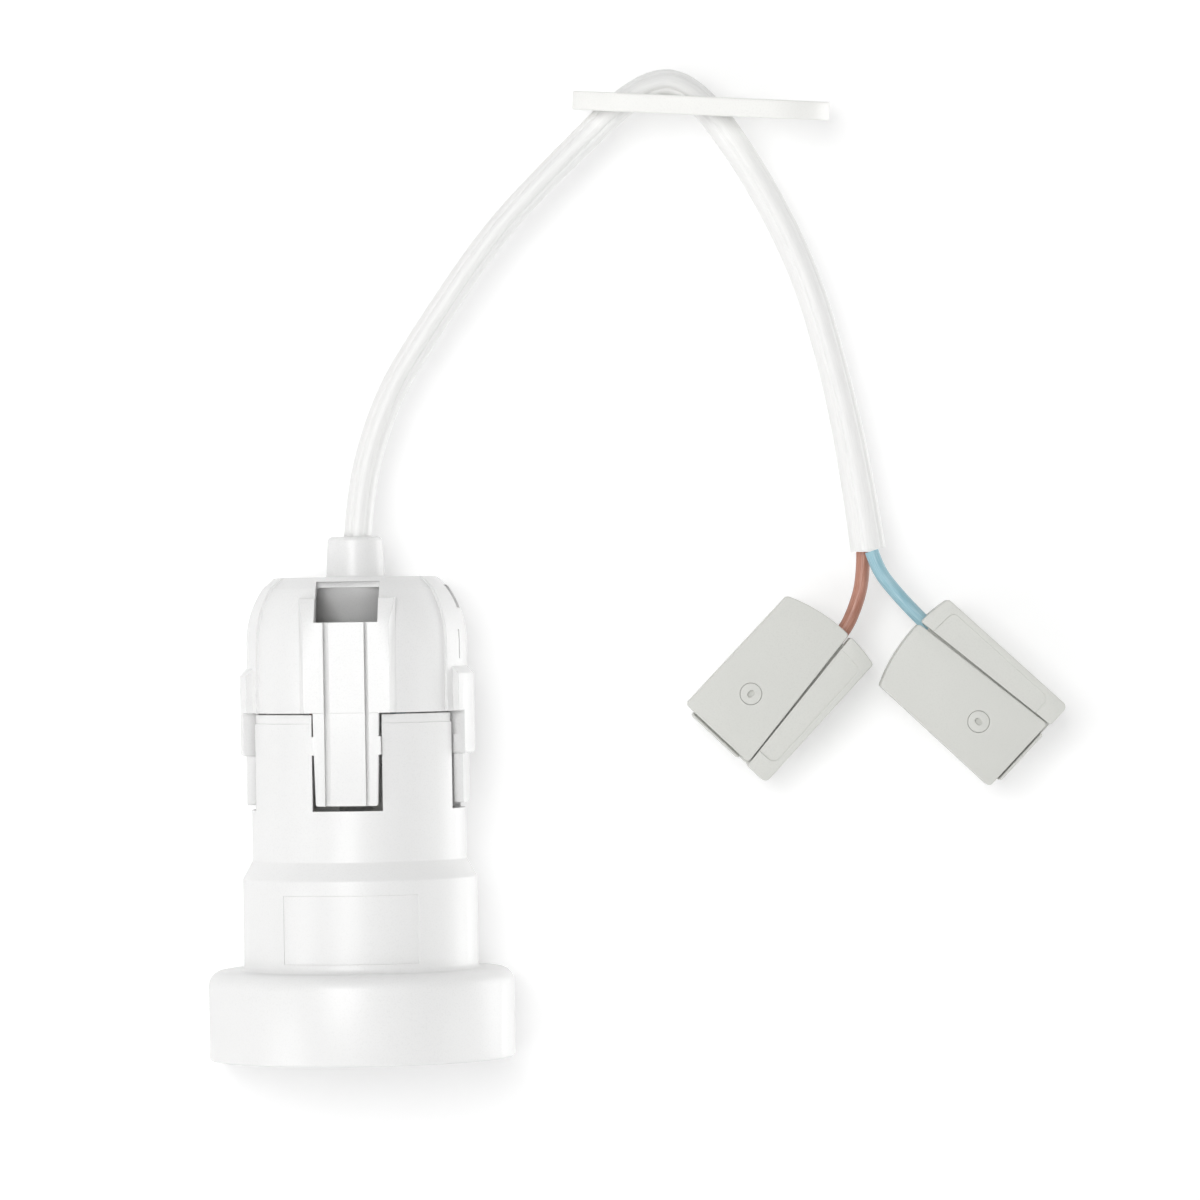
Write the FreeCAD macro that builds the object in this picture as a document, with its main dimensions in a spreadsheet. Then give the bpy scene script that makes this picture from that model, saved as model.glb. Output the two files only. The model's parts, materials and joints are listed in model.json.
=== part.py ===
"""Lamp holder for an E27 lamp, with its flex, hanger plate and two lighting connectors.

Millimetres. Z runs up the lamp axis, and the origin is the middle of the collar's mouth, where
the lamp goes in. The flex lies in the plane Y = 0, and the front of the holder looks along -Y.
"""

import FreeCAD, Part
import math
import os
import sys

import Sketcher

Vector = FreeCAD.Vector
Rotation = FreeCAD.Rotation
Placement = FreeCAD.Placement

# Driving dimensions

SIZES = {
    # The shell: a collar round the mouth, a skirt, a cone step and the upper body
    "collar_radius": 23.5,
    "collar_height": 13.8,
    "collar_wall": 1.8,
    "collar_round_share": 0.418,
    "skirt_radius": 18.0,
    "skirt_wall": 1.65,
    "skirt_fillet_share": 0.145,
    "body_radius": 16.45,
    "body_wall": 1.65,
    "body_top": 53.1,
    "rim_height": 1.4,
    "rim_step": 0.15,
    "thread_radius": 13.35,
    "thread_top": 21.0,
    "relief_radius": 13.8,
    "sleeve_wall": 1.6,
    "sleeve_foot": 1.2,
    # The ledge that the contact carrier sits on, and how far below it the outside steps in
    "seat_height": 31.5,
    "skirt_top_drop": 3.7,
    "cone_top_drop": 0.9,
    "relief_top_drop": 5.5,
    "label_depth": 0.15,
    "label_angle": 70.0,
    "label_clearance": 0.6025,
    "label_top": 25.6,
    "holder_turn": 3.6,
    # The slots of the shell and the tongues of the cap that snap into them
    "front_slot_width": 10.94,
    "side_slot_width": 13.0,
    "slot_clearance": 0.8,
    "tongue_foot": 39.2,
    "tongue_root_half": 5.05,
    "tongue_foot_half": 4.5,
    "tongue_inside": 15.2,
    "tongue_face": 16.7,
    "barb_foot": 46.9,
    "barb_height": 2.8,
    "barb_reach": 0.25,
    # The cap: a dome with four raised panels, four windows and a neck for the flex
    "dome_curve_foot": 64.0,
    "dome_shoulder": 72.3,
    "dome_shoulder_radius": 13.9,
    "dome_top": 74.0,
    "dome_flat_radius": 12.0,
    "dome_curve": 15.0,
    "dome_wall": 1.6,
    "panel_face": 16.9,
    "panel_half": 6.6,
    "panel_flare": 0.75,
    "panel_top": 67.1,
    "panel_slope_top": 70.8,
    "rib_groove_offset": 3.04,
    "rib_groove_width": 0.75,
    "rib_groove_depth": 0.8,
    "side_panel_rise": 0.5,
    "side_panel_angle": 60.0,
    "side_groove_offset": 4.7,
    "side_groove_width": 0.5,
    "side_groove_depth": 0.45,
    "side_groove_foot": 61.3,
    "side_groove_top": 65.8,
    "window_width": 9.7,
    "window_foot": 67.1,
    "window_top": 73.3,
    "window_depth": 5.6,
    "side_window_width": 5.2,
    "side_window_foot": 69.1,
    "side_window_top": 72.6,
    "boss_radius": 18.0,
    "boss_top": 60.2,
    "boss_chamfer": 1.1,
    "boss_angle": 50.0,
    "latch_foot": 46.8,
    "latch_angle": 38.0,
    "neck_radius": 4.5,
    "neck_top_radius": 4.15,
    "neck_top": 80.2,
    "neck_round": 0.7,
    "neck_bore": 2.9,
    "hub_radius": 6.9,
    "hub_foot": 66.0,
    "hub_mouth": 5.7,
    "hub_throat": 4.7,
    # The contact carrier and what it holds
    "carrier_clearance": 0.2,
    "carrier_thickness": 3.5,
    "tower_inner": 2.5,
    "tower_outer": 10.9,
    "tower_half": 4.5,
    "tower_floor": 1.4,
    "tower_height": 10.0,
    "tower_wall": 1.0,
    "strip_thickness": 0.5,
    "strip_width": 6.0,
    "bar_top_gap": 0.6,
    "side_contact_face": 12.95,
    "side_contact_knee_drop": 3.3,
    "side_contact_heel_drop": 7.5,
    "side_contact_tip": 12.0,
    "side_contact_foot_drop": 9.9,
    "rivet_offset": 7.6,
    "rivet_radius": 1.0,
    "rivet_head_radius": 1.7,
    "rivet_head": 0.5,
    "rivet_play": 0.05,
    "leaf_clearance": 0.4,
    "leaf_drop": 2.6,
    "leaf_root_start": 9.4,
    "leaf_root_end": 5.2,
    "leaf_width": 5.0,
    "spring_thickness": 0.4,
    "spring_width": 5.0,
    "spring_nose": 7.1,
    # The flex, its cores and the grip in the cap
    "flex_radius": 2.1,
    "core_radius": 1.075,
    "core_depth": 0.95,
    "grip_clearance": 0.1,
    "grip_slit": 1.0,
    "grip_foot": 67.4,
    # The hanger plate
    "plate_length": 39.6,
    "plate_width": 18.0,
    "plate_thickness": 2.9,
    "plate_centre_x": 54.3,
    "plate_centre_z": 145.77,
    "flex_slot_width": 6.2,
    "left_slot_at": -12.8,
    "left_slot_length": 10.0,
    "right_slot_at": 1.2,
    "right_slot_length": 9.0,
    "hook_hole_at": 12.9,
    "hook_hole_radius": 3.75,
    # The lighting connectors, each in a frame of its own: X along it from the end where the
    # core goes in, and Z = 0 at the outer edge of the housing's strip, which the hood is below
    "connector_length": 24.6,
    "connector_height": 16.9,
    "connector_thickness": 8.2,
    "strip_entry_height": 5.4,
    "strip_far_height": 3.6,
    "strip_far_rise": 0.3,
    "entry_bulge": 0.78,
    "entry_curve": 26.0,
    "label_panel_start": 1.9,
    "label_panel_end": 21.6,
    "label_panel_edge": 0.9,
    "hood_setback": 1.3,
    "hood_end": 24.1,
    "hood_gap": 0.6,
    "hood_far_gap": 0.3,
    "hood_wall": 1.2,
    "hood_corner": 0.6,
    "block_thickness": 5.2,
    "block_start": 0.5,
    "block_end": 24.8,
    "end_plate": 0.45,
    "end_plate_inset": 0.3,
    "block_lip": 5.5,
    "block_roof": 15.1,
    "pivot_at": 16.1,
    "pivot_height": 10.7,
    "pivot_radius": 1.4,
    "pivot_hole_radius": 1.7,
    "test_hole_radius": 0.5,
    "core_hole_half": 1.45,
    "core_hole_top": 3.75,
    "core_hole_foot": 8.3,
    "chamber_entry": 4.5,
    "chamber_far": 19.5,
    "chamber_floor": 5.9,
    "chamber_half": 2.0,
    "current_bar_thickness": 0.6,
    "push_in_radius": 1.2,
    "push_in_upper": 7.8,
    "push_in_lower": 11.9,
    "clamp_thickness": 0.4,
    "left_connector_x": 79.43,
    "left_connector_z": 59.34,
    "left_connector_turn": 133.84,
    "right_connector_x": 91.06,
    "right_connector_z": 69.22,
    "right_connector_turn": 43.56,
}

# The flex's route in the plane Y = 0, X and Z, from the grip in the cap to the jacket's end
FLEX_ROUTE = [
    (0.0, 67.0),
    (0.0, 84.0),
    (4.6, 100.6),
    (11.6, 111.8),
    (22.2, 127.0),
    (33.6, 138.9),
    (44.9, 150.05),
    (52.8, 149.85),
    (61.7, 136.6),
    (69.9, 120.4),
    (74.6, 103.3),
    (77.6, 87.5),
    (79.0, 77.0),
]
# The cores from the jacket's end into the connectors, each in a plane of its own
BROWN_ROUTE = [(78.25, 76.7), (78.2, 72.6), (77.0, 68.3), (75.15, 64.4), (72.72, 61.87)]
BLUE_ROUTE = [(79.5, 76.8), (80.4, 73.9), (83.0, 70.5), (86.6, 66.5), (89.14, 64.09)]
# The cores inside the cap, from the jacket's start down to the terminals: distance from the
# axis, and the share of the way up from the core's end, which is above the carrier's seat
INNER_CORE_ROUTE = [(1.2, 1.0), (1.2, 0.81), (4.2, 0.59), (7.4, 0.39), (8.2, 0.18), (8.2, 0.0)]
INNER_CORE_END_RISE = 9.5

# The plate's slope, its right end lower, and its tip, its far edge higher
PLATE_SLOPE = 3.39
PLATE_TIP = 4.07

document = FreeCAD.newDocument("LampHolder")
sheet = document.addObject("Spreadsheet::Sheet", "Sizes")
for row, (alias, number) in enumerate(SIZES.items(), start=1):
    sheet.set(f"A{row}", alias)
    sheet.set(f"B{row}", str(number))
    sheet.setAlias(f"B{row}", alias)
document.recompute()


class Size:
    """A length worked out from the sheet: its number, and the formula that a property is bound to."""

    def __init__(self, number, formula):
        self.number = number
        self.formula = formula

    def __float__(self):
        return float(self.number)

    def __add__(self, other):
        other = size(other)
        return Size(self.number + other.number, f"({self.formula} + {other.formula})")

    def __radd__(self, other):
        return size(other) + self

    def __sub__(self, other):
        other = size(other)
        return Size(self.number - other.number, f"({self.formula} - {other.formula})")

    def __rsub__(self, other):
        return size(other) - self

    def __mul__(self, other):
        other = size(other)
        return Size(self.number * other.number, f"({self.formula} * {other.formula})")

    def __rmul__(self, other):
        return size(other) * self

    def __truediv__(self, other):
        other = size(other)
        return Size(self.number / other.number, f"({self.formula} / {other.formula})")

    def __neg__(self):
        return Size(-self.number, f"(0 - {self.formula})")


class Sizes:
    """The sheet's cells by their names."""

    def __getattr__(self, alias):
        return Size(float(sheet.get(alias)), f"Sizes.{alias}")


def size(value):
    """A plain number as a Size, and a Size as it is."""
    if isinstance(value, Size):
        return value
    return Size(float(value), f"{float(value):.6f}")


S = Sizes()


# Building blocks


def bind(thing, **properties):
    """Binds properties of a document object to formulas of the sheet."""
    for name, value in properties.items():
        thing.setExpression(name, size(value).formula)


def move(thing, x=0, y=0, z=0):
    """Binds a document object's place."""
    for axis, value in zip("xyz", (x, y, z)):
        thing.setExpression(f"Placement.Base.{axis}", size(value).formula)


def turn(thing, axis, angle):
    """Turns a document object about an axis through its own origin by a bound angle."""
    thing.Placement = Placement(thing.Placement.Base, Rotation(axis, float(size(angle))))
    thing.setExpression("Placement.Rotation.Angle", size(angle).formula)


def new_body(label):
    """An empty body, whose label is the name of its file."""
    made = document.addObject("PartDesign::Body", label)
    made.Label = label
    return made


def origin_plane(body, role):
    """One of the body's own three planes."""
    return next(f for f in body.Origin.OriginFeatures if f.Role == role)


def fix(sketch, geometry, end, point):
    """Holds one end of a line or an arc at a point of the sketch's plane."""
    along, up = (size(value) for value in point)
    for value, kind, other_axis in ((along, "DistanceX", -2), (up, "DistanceY", -1)):
        if value.number == 0:
            sketch.addConstraint(Sketcher.Constraint("PointOnObject", geometry, end, other_axis))
        else:
            index = sketch.addConstraint(
                Sketcher.Constraint(kind, -1, 1, geometry, end, value.number)
            )
            sketch.setExpression(f"Constraints[{index}]", value.formula)


def arc_between(start, end, radius):
    """The arc of that radius from start to end. It bulges to the left of the line, or to the right if radius is negative."""
    chord = end - start
    length = chord.Length
    sagitta = abs(radius) - math.sqrt(radius**2 - (length / 2) ** 2)
    left = Vector(-chord.y, chord.x, 0).normalize()
    middle = (start + end) / 2 + left * math.copysign(sagitta, radius)
    return Part.Arc(start, middle, end)


def outline(body, name, plane, corners, bows=None, closed=True):
    """A sketch through the corners, in one of the body's planes. bows gives the radius of each side that is an arc, by the number of the corner where it starts."""
    bows = bows or {}
    if body is None:
        sketch = document.addObject("Sketcher::SketchObject", name)
        sketch.Placement = Placement(Vector(0, 0, 0), Rotation(Vector(1, 0, 0), 90))
    else:
        sketch = body.newObject("Sketcher::SketchObject", name)
        sketch.AttachmentSupport = (origin_plane(body, plane), [""])
        sketch.MapMode = "FlatFace"
    points = [Vector(float(size(x)), float(size(y)), 0) for x, y in corners]
    count = len(points) if closed else len(points) - 1
    ends = []
    for i in range(count):
        start, end = points[i], points[(i + 1) % len(points)]
        if i in bows:
            index = sketch.addGeometry(arc_between(start, end, float(size(bows[i]))), False)
            swapped = sketch.getPoint(index, 1).distanceToPoint(start) > 1e-6
            ends.append((2, 1) if swapped else (1, 2))
        else:
            sketch.addGeometry(Part.LineSegment(start, end), False)
            ends.append((1, 2))
    for i in range(count):
        if closed or i + 1 < count:
            following = (i + 1) % count
            sketch.addConstraint(
                Sketcher.Constraint("Coincident", i, ends[i][1], following, ends[following][0])
            )
        fix(sketch, i, ends[i][0], corners[i])
    if not closed:
        fix(sketch, count - 1, ends[-1][1], corners[-1])
    for i, radius in bows.items():
        positive = abs(float(size(radius)))
        if abs(points[i].distanceToPoint(points[(i + 1) % len(points)]) - 2 * positive) < 1e-6:
            across = size(corners[i][0])
            index = sketch.addConstraint(
                Sketcher.Constraint("DistanceX", -1, 1, i, 3, across.number)
            )
            sketch.setExpression(f"Constraints[{index}]", across.formula)
            continue
        index = sketch.addConstraint(Sketcher.Constraint("Radius", i, positive))
        formula = size(radius).formula if float(size(radius)) > 0 else (-size(radius)).formula
        sketch.setExpression(f"Constraints[{index}]", formula)
    return sketch


def turned(body, kind, name, sketch, angle=360.0):
    """A Revolution or a Groove about the sketch's upright axis, half its angle to each side."""
    made = body.newObject(f"PartDesign::{kind}", name)
    made.Profile = sketch
    made.ReferenceAxis = (sketch, ["V_Axis"])
    made.Midplane = True
    made.Angle = float(size(angle))
    bind(made, Angle=angle)
    return made


def prism(body, kind, name, sketch, length):
    """A Pad or a Pocket, half its length to each side of the sketch."""
    made = body.newObject(f"PartDesign::{kind}", name)
    made.Profile = sketch
    made.SideType = "Symmetric"
    made.Length = float(size(length))
    bind(made, Length=length)
    return made


def box(body, kind, name, low, high):
    """An AdditiveBox or a SubtractiveBox between two corners."""
    made = body.newObject(f"PartDesign::{kind}Box", name)
    sizes = [size(b) - size(a) for a, b in zip(low, high)]
    bind(made, Length=sizes[0], Width=sizes[1], Height=sizes[2])
    move(made, *low)
    return made


def cylinder(body, kind, name, radius, height, foot, direction=(0, 0, 1)):
    """An AdditiveCylinder or a SubtractiveCylinder from its foot along a direction."""
    made = body.newObject(f"PartDesign::{kind}Cylinder", name)
    made.Placement = Placement(Vector(0, 0, 0), Rotation(Vector(0, 0, 1), Vector(*direction)))
    bind(made, Radius=radius, Height=height)
    move(made, *foot)
    return made


def round_about(body, name, originals, copies):
    """Copies of features round the lamp axis."""
    made = body.newObject("PartDesign::PolarPattern", name)
    made.Originals = originals
    made.Axis = (origin_axis(body), [""])
    made.Angle = 360.0
    made.Occurrences = copies
    body.Tip = made
    return made


def origin_axis(body):
    """The body's own Z axis."""
    return next(f for f in body.Origin.OriginFeatures if f.Role == "Z_Axis")


def dressed(body, kind, name, amount, wanted, property_name):
    """A Fillet or a Chamfer of the edges whose ends and middle pass the test."""
    document.recompute()
    base = body.Tip
    names = []
    for i, edge in enumerate(base.Shape.Edges, start=1):
        if wanted(edge):
            names.append(f"Edge{i}")
    made = body.newObject(f"PartDesign::{kind}", name)
    made.Base = (base, names)
    bind(made, **{property_name: amount})
    body.Tip = made
    return made


def ring_at(radius, height):
    """A test for the whole circles of that radius at that height about the lamp axis."""

    def test(edge):
        curve = edge.Curve
        if not isinstance(curve, Part.Circle):
            return False
        return abs(curve.Radius - float(radius)) < 0.01 and abs(curve.Center.z - float(height)) < 0.01

    return test


def spin_holder(thing):
    """Turns a piece of the holder with the rest of it, front towards -X."""
    turn(thing, Vector(0, 0, -1), S.holder_turn)


nodes = []


def keep(thing, label):
    """Adds a finished sub-part to the list that is checked and written."""
    thing.Label = label
    nodes.append(thing)
    return thing


# The shell


def make_shell():
    """One moulding: thread sleeve, skirt, collar and upper body, with four slots at the top."""
    body = new_body("lampholder_shell")
    sleeve_outside = S.thread_radius + S.sleeve_wall
    skirt_inside = S.skirt_radius - S.skirt_wall
    body_inside = S.body_radius - S.body_wall
    collar_inside = S.collar_radius - S.collar_wall
    collar_roof = S.collar_height - S.collar_wall
    rim_foot = S.body_top - S.rim_height
    rim_radius = S.body_radius - S.rim_step
    relief_top = S.seat_height - S.relief_top_drop
    slot_foot = S.tongue_foot - S.slot_clearance
    wall = outline(
        body,
        "ShellSection",
        "XZ_Plane",
        [
            (S.thread_radius, S.sleeve_foot),
            (sleeve_outside, S.sleeve_foot),
            (sleeve_outside, relief_top),
            (skirt_inside, relief_top),
            (skirt_inside, collar_roof),
            (collar_inside, collar_roof),
            (collar_inside, 0),
            (S.collar_radius, 0),
            (S.collar_radius, S.collar_height),
            (S.skirt_radius, S.collar_height),
            (S.skirt_radius, S.seat_height - S.skirt_top_drop),
            (S.body_radius, S.seat_height - S.cone_top_drop),
            (S.body_radius, rim_foot),
            (rim_radius, rim_foot),
            (rim_radius, S.body_top),
            (body_inside, S.body_top),
            (body_inside, S.seat_height),
            (S.relief_radius, S.seat_height),
            (S.relief_radius, S.thread_top),
            (S.thread_radius, S.thread_top),
        ],
    )
    turned(body, "Revolution", "ShellWall", wall)
    through = 2 * S.body_radius + 4
    for name, half, plane in (
        ("FrontSlot", S.front_slot_width / 2, "XZ_Plane"),
        ("SideSlot", S.side_slot_width / 2, "YZ_Plane"),
    ):
        opening = outline(
            body,
            f"{name}Outline",
            plane,
            [
                (-half, slot_foot),
                (half, slot_foot),
                (half, S.body_top + 1),
                (-half, S.body_top + 1),
            ],
        )
        prism(body, "Pocket", name, opening, through)
    step = S.collar_radius - S.skirt_radius
    skirt_fillet = step * S.skirt_fillet_share
    label_foot = S.collar_height + skirt_fillet + S.label_clearance
    panel = outline(
        body,
        "LabelOutline",
        "YZ_Plane",
        [
            (-S.skirt_radius - 1, label_foot),
            (-(S.skirt_radius - S.label_depth), label_foot),
            (-(S.skirt_radius - S.label_depth), S.label_top),
            (-S.skirt_radius - 1, S.label_top),
        ],
    )
    turned(body, "Groove", "LabelRecess", panel, S.label_angle)
    collar_edge = ring_at(S.collar_radius, S.collar_height)
    skirt_foot = ring_at(S.skirt_radius, S.collar_height)
    dressed(body, "Fillet", "CollarRound", step * S.collar_round_share, collar_edge, "Radius")
    dressed(body, "Fillet", "SkirtFillet", skirt_fillet, skirt_foot, "Radius")
    spin_holder(body)
    return keep(body, "lampholder_shell")


# The cap


def dome_section(body, name, inside, rise):
    """The dome's outer outline, set out by rise, closed at the radius inside."""
    return outline(
        body,
        name,
        "XZ_Plane",
        [
            (inside, S.body_top),
            (S.body_radius + rise, S.body_top),
            (S.body_radius + rise, S.dome_curve_foot),
            (S.dome_shoulder_radius + rise, S.dome_shoulder),
            (S.dome_flat_radius + rise, S.dome_top),
            (inside, S.dome_top),
        ],
        {2: -S.dome_curve},
    )


def make_cap():
    """The clipped dome with its neck, panels, windows, latch bosses and four tongues."""
    body = new_body("cap")
    turned(body, "Revolution", "Dome", dome_section(body, "DomeSection", 0, 0))
    side_panel = dome_section(body, "SidePanelSection", S.dome_flat_radius - 2, S.side_panel_rise)
    panels = [turned(body, "Revolution", "SidePanel", side_panel, S.side_panel_angle)]
    boss_inside = S.body_radius - 1
    boss = outline(
        body,
        "BossSection",
        "XZ_Plane",
        [
            (boss_inside, S.body_top),
            (S.boss_radius, S.body_top),
            (S.boss_radius, S.boss_top - S.boss_chamfer),
            (S.boss_radius - S.boss_chamfer, S.boss_top),
            (boss_inside, S.boss_top),
        ],
    )
    panels.append(turned(body, "Revolution", "Boss", boss, S.boss_angle))
    latch = outline(
        body,
        "LatchSection",
        "XZ_Plane",
        [
            (S.tongue_inside + 0.3, S.latch_foot),
            (S.boss_radius, S.latch_foot),
            (S.boss_radius, S.body_top + 0.5),
            (S.tongue_inside + 0.3, S.body_top + 0.5),
        ],
    )
    panels.append(turned(body, "Revolution", "Latch", latch, S.latch_angle))
    document.recompute()
    round_about(body, "SidePanels", panels, 2)
    face = body.newObject("PartDesign::AdditiveWedge", "FrontPanel")
    bind(
        face,
        Ymin=-S.panel_face,
        Ymax=-(S.tongue_inside - 0.5),
        Xmin=-S.panel_half,
        Xmax=S.panel_half,
        Zmin=S.body_top,
        Zmax=S.panel_top,
        X2min=-(S.panel_half + S.panel_flare),
        X2max=S.panel_half + S.panel_flare,
        Z2min=S.body_top,
        Z2max=S.panel_slope_top,
    )
    back = box(
        body,
        "Additive",
        "FrontPanelRoot",
        (-(S.panel_half + S.panel_flare), -(S.tongue_inside - 0.5), S.body_top),
        (S.panel_half + S.panel_flare, -(S.dome_flat_radius - 1), S.panel_slope_top),
    )
    document.recompute()
    round_about(body, "FrontPanels", [face, back], 2)
    tongue = outline(
        body,
        "TongueOutline",
        "XZ_Plane",
        [
            (-S.tongue_foot_half, S.tongue_foot),
            (S.tongue_foot_half, S.tongue_foot),
            (S.tongue_root_half, S.body_top + 0.5),
            (-S.tongue_root_half, S.body_top + 0.5),
        ],
    )
    barb_half = S.tongue_root_half + S.barb_reach
    blade = body.newObject("PartDesign::Pad", "Tongue")
    blade.Profile = tongue
    blade.SideType = "Two sides"
    blade.Reversed = False
    bind(blade, Length=S.tongue_face, Length2=-S.tongue_inside)
    barb = box(
        body,
        "Additive",
        "Barb",
        (-barb_half, -S.tongue_face, S.barb_foot),
        (barb_half, -S.tongue_inside, S.barb_foot + S.barb_height),
    )
    document.recompute()
    round_about(body, "Tongues", [blade, barb], 4)
    cavity = outline(
        body,
        "CavitySection",
        "XZ_Plane",
        [
            (0, S.body_top - 0.5),
            (S.body_radius - S.dome_wall, S.body_top - 0.5),
            (S.body_radius - S.dome_wall, S.dome_curve_foot),
            (S.dome_shoulder_radius - S.dome_wall + 0.2, S.dome_shoulder - 0.6),
            (S.dome_flat_radius - 0.8, S.dome_top - S.dome_wall),
            (S.hub_radius, S.dome_top - S.dome_wall),
            (S.hub_radius, S.hub_foot),
            (S.hub_mouth, S.hub_foot),
            (S.hub_throat, S.dome_top - S.dome_wall - 0.1),
            (0, S.dome_top - S.dome_wall - 0.1),
        ],
        {2: -(S.dome_curve - S.dome_wall)},
    )
    turned(body, "Groove", "Cavity", cavity)
    neck = outline(
        body,
        "NeckSection",
        "XZ_Plane",
        [
            (S.neck_bore, S.dome_top - 0.5),
            (S.neck_radius, S.dome_top - 0.5),
            (S.neck_radius, S.dome_top),
            (S.neck_top_radius, S.neck_top),
            (S.neck_bore, S.neck_top),
        ],
    )
    turned(body, "Revolution", "Neck", neck)
    cylinder(body, "Subtractive", "NeckBore", S.neck_bore, 4, (0, 0, S.dome_top - 2.5))
    window = box(
        body,
        "Subtractive",
        "FrontWindow",
        (-S.window_width / 2, -S.panel_face - 1, S.window_foot),
        (S.window_width / 2, -S.panel_face - 1 + S.window_depth, S.window_top),
    )
    grooves = [
        box(
            body,
            "Subtractive",
            f"RibGroove{side}",
            (at - S.rib_groove_width / 2, -S.panel_face - 1, S.tongue_foot - 1),
            (at + S.rib_groove_width / 2, -S.panel_face + S.rib_groove_depth, S.panel_top + 1),
        )
        for side, at in (("Left", -S.rib_groove_offset), ("Right", S.rib_groove_offset))
    ]
    document.recompute()
    round_about(body, "FrontOpenings", [window, *grooves], 2)
    side_face = S.body_radius + S.side_panel_rise
    side_window = box(
        body,
        "Subtractive",
        "SideWindow",
        (side_face - S.window_depth, -S.side_window_width / 2, S.side_window_foot),
        (side_face + 1, S.side_window_width / 2, S.side_window_top),
    )
    side_grooves = [
        box(
            body,
            "Subtractive",
            f"SideGroove{side}",
            (
                side_face - S.side_groove_depth - 0.7,
                at - S.side_groove_width / 2,
                S.side_groove_foot,
            ),
            (side_face + 1, at + S.side_groove_width / 2, S.side_groove_top),
        )
        for side, at in (("Front", -S.side_groove_offset), ("Back", S.side_groove_offset))
    ]
    document.recompute()
    round_about(body, "SideOpenings", [side_window, *side_grooves], 2)
    dressed(body, "Fillet", "NeckRound", S.neck_round, ring_at(S.neck_top_radius, S.neck_top), "Radius")
    spin_holder(body)
    return keep(body, "cap")


# The contacts


def make_carrier():
    """The disc under the cap that holds the contacts, with a tower round each terminal."""
    body = new_body("contact_carrier")
    radius = S.body_radius - S.body_wall - S.carrier_clearance
    cylinder(body, "Additive", "Disc", radius, S.carrier_thickness, (0, 0, S.seat_height))
    foot = S.seat_height + S.carrier_thickness
    tower = box(
        body,
        "Additive",
        "Tower",
        (S.tower_inner, -S.tower_half, foot),
        (S.tower_outer, S.tower_half, foot + S.tower_height),
    )
    document.recompute()
    round_about(body, "Towers", [tower], 2)
    inside = S.tower_half - S.tower_wall
    pocket = box(
        body,
        "Subtractive",
        "TerminalPocket",
        (S.tower_inner + S.tower_wall, -inside, foot + S.tower_floor),
        (S.tower_outer - S.tower_wall, inside, foot + S.tower_height + 1),
    )
    document.recompute()
    round_about(body, "TerminalPockets", [pocket], 2)
    hole = S.rivet_radius + S.rivet_play
    cylinder(body, "Subtractive", "RivetHole", hole, 8, (-S.rivet_offset, 0, S.seat_height - 1))
    wall = S.tower_outer - S.tower_wall
    box(
        body,
        "Subtractive",
        "SideContactSlot",
        (wall - S.strip_thickness - S.rivet_play, -(S.strip_width / 2 + 0.1), S.seat_height - 1),
        (wall + S.rivet_play, S.strip_width / 2 + 0.1, foot + S.tower_floor + 0.5),
    )
    spin_holder(body)
    return keep(body, "contact_carrier")


def strip_body(label, corners, width):
    """A bent strip of sheet metal, drawn from the side."""
    body = new_body(label)
    prism(body, "Pad", f"{body.Name}Strip", outline(body, f"{body.Name}Side", "XZ_Plane", corners), width)
    return body


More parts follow.
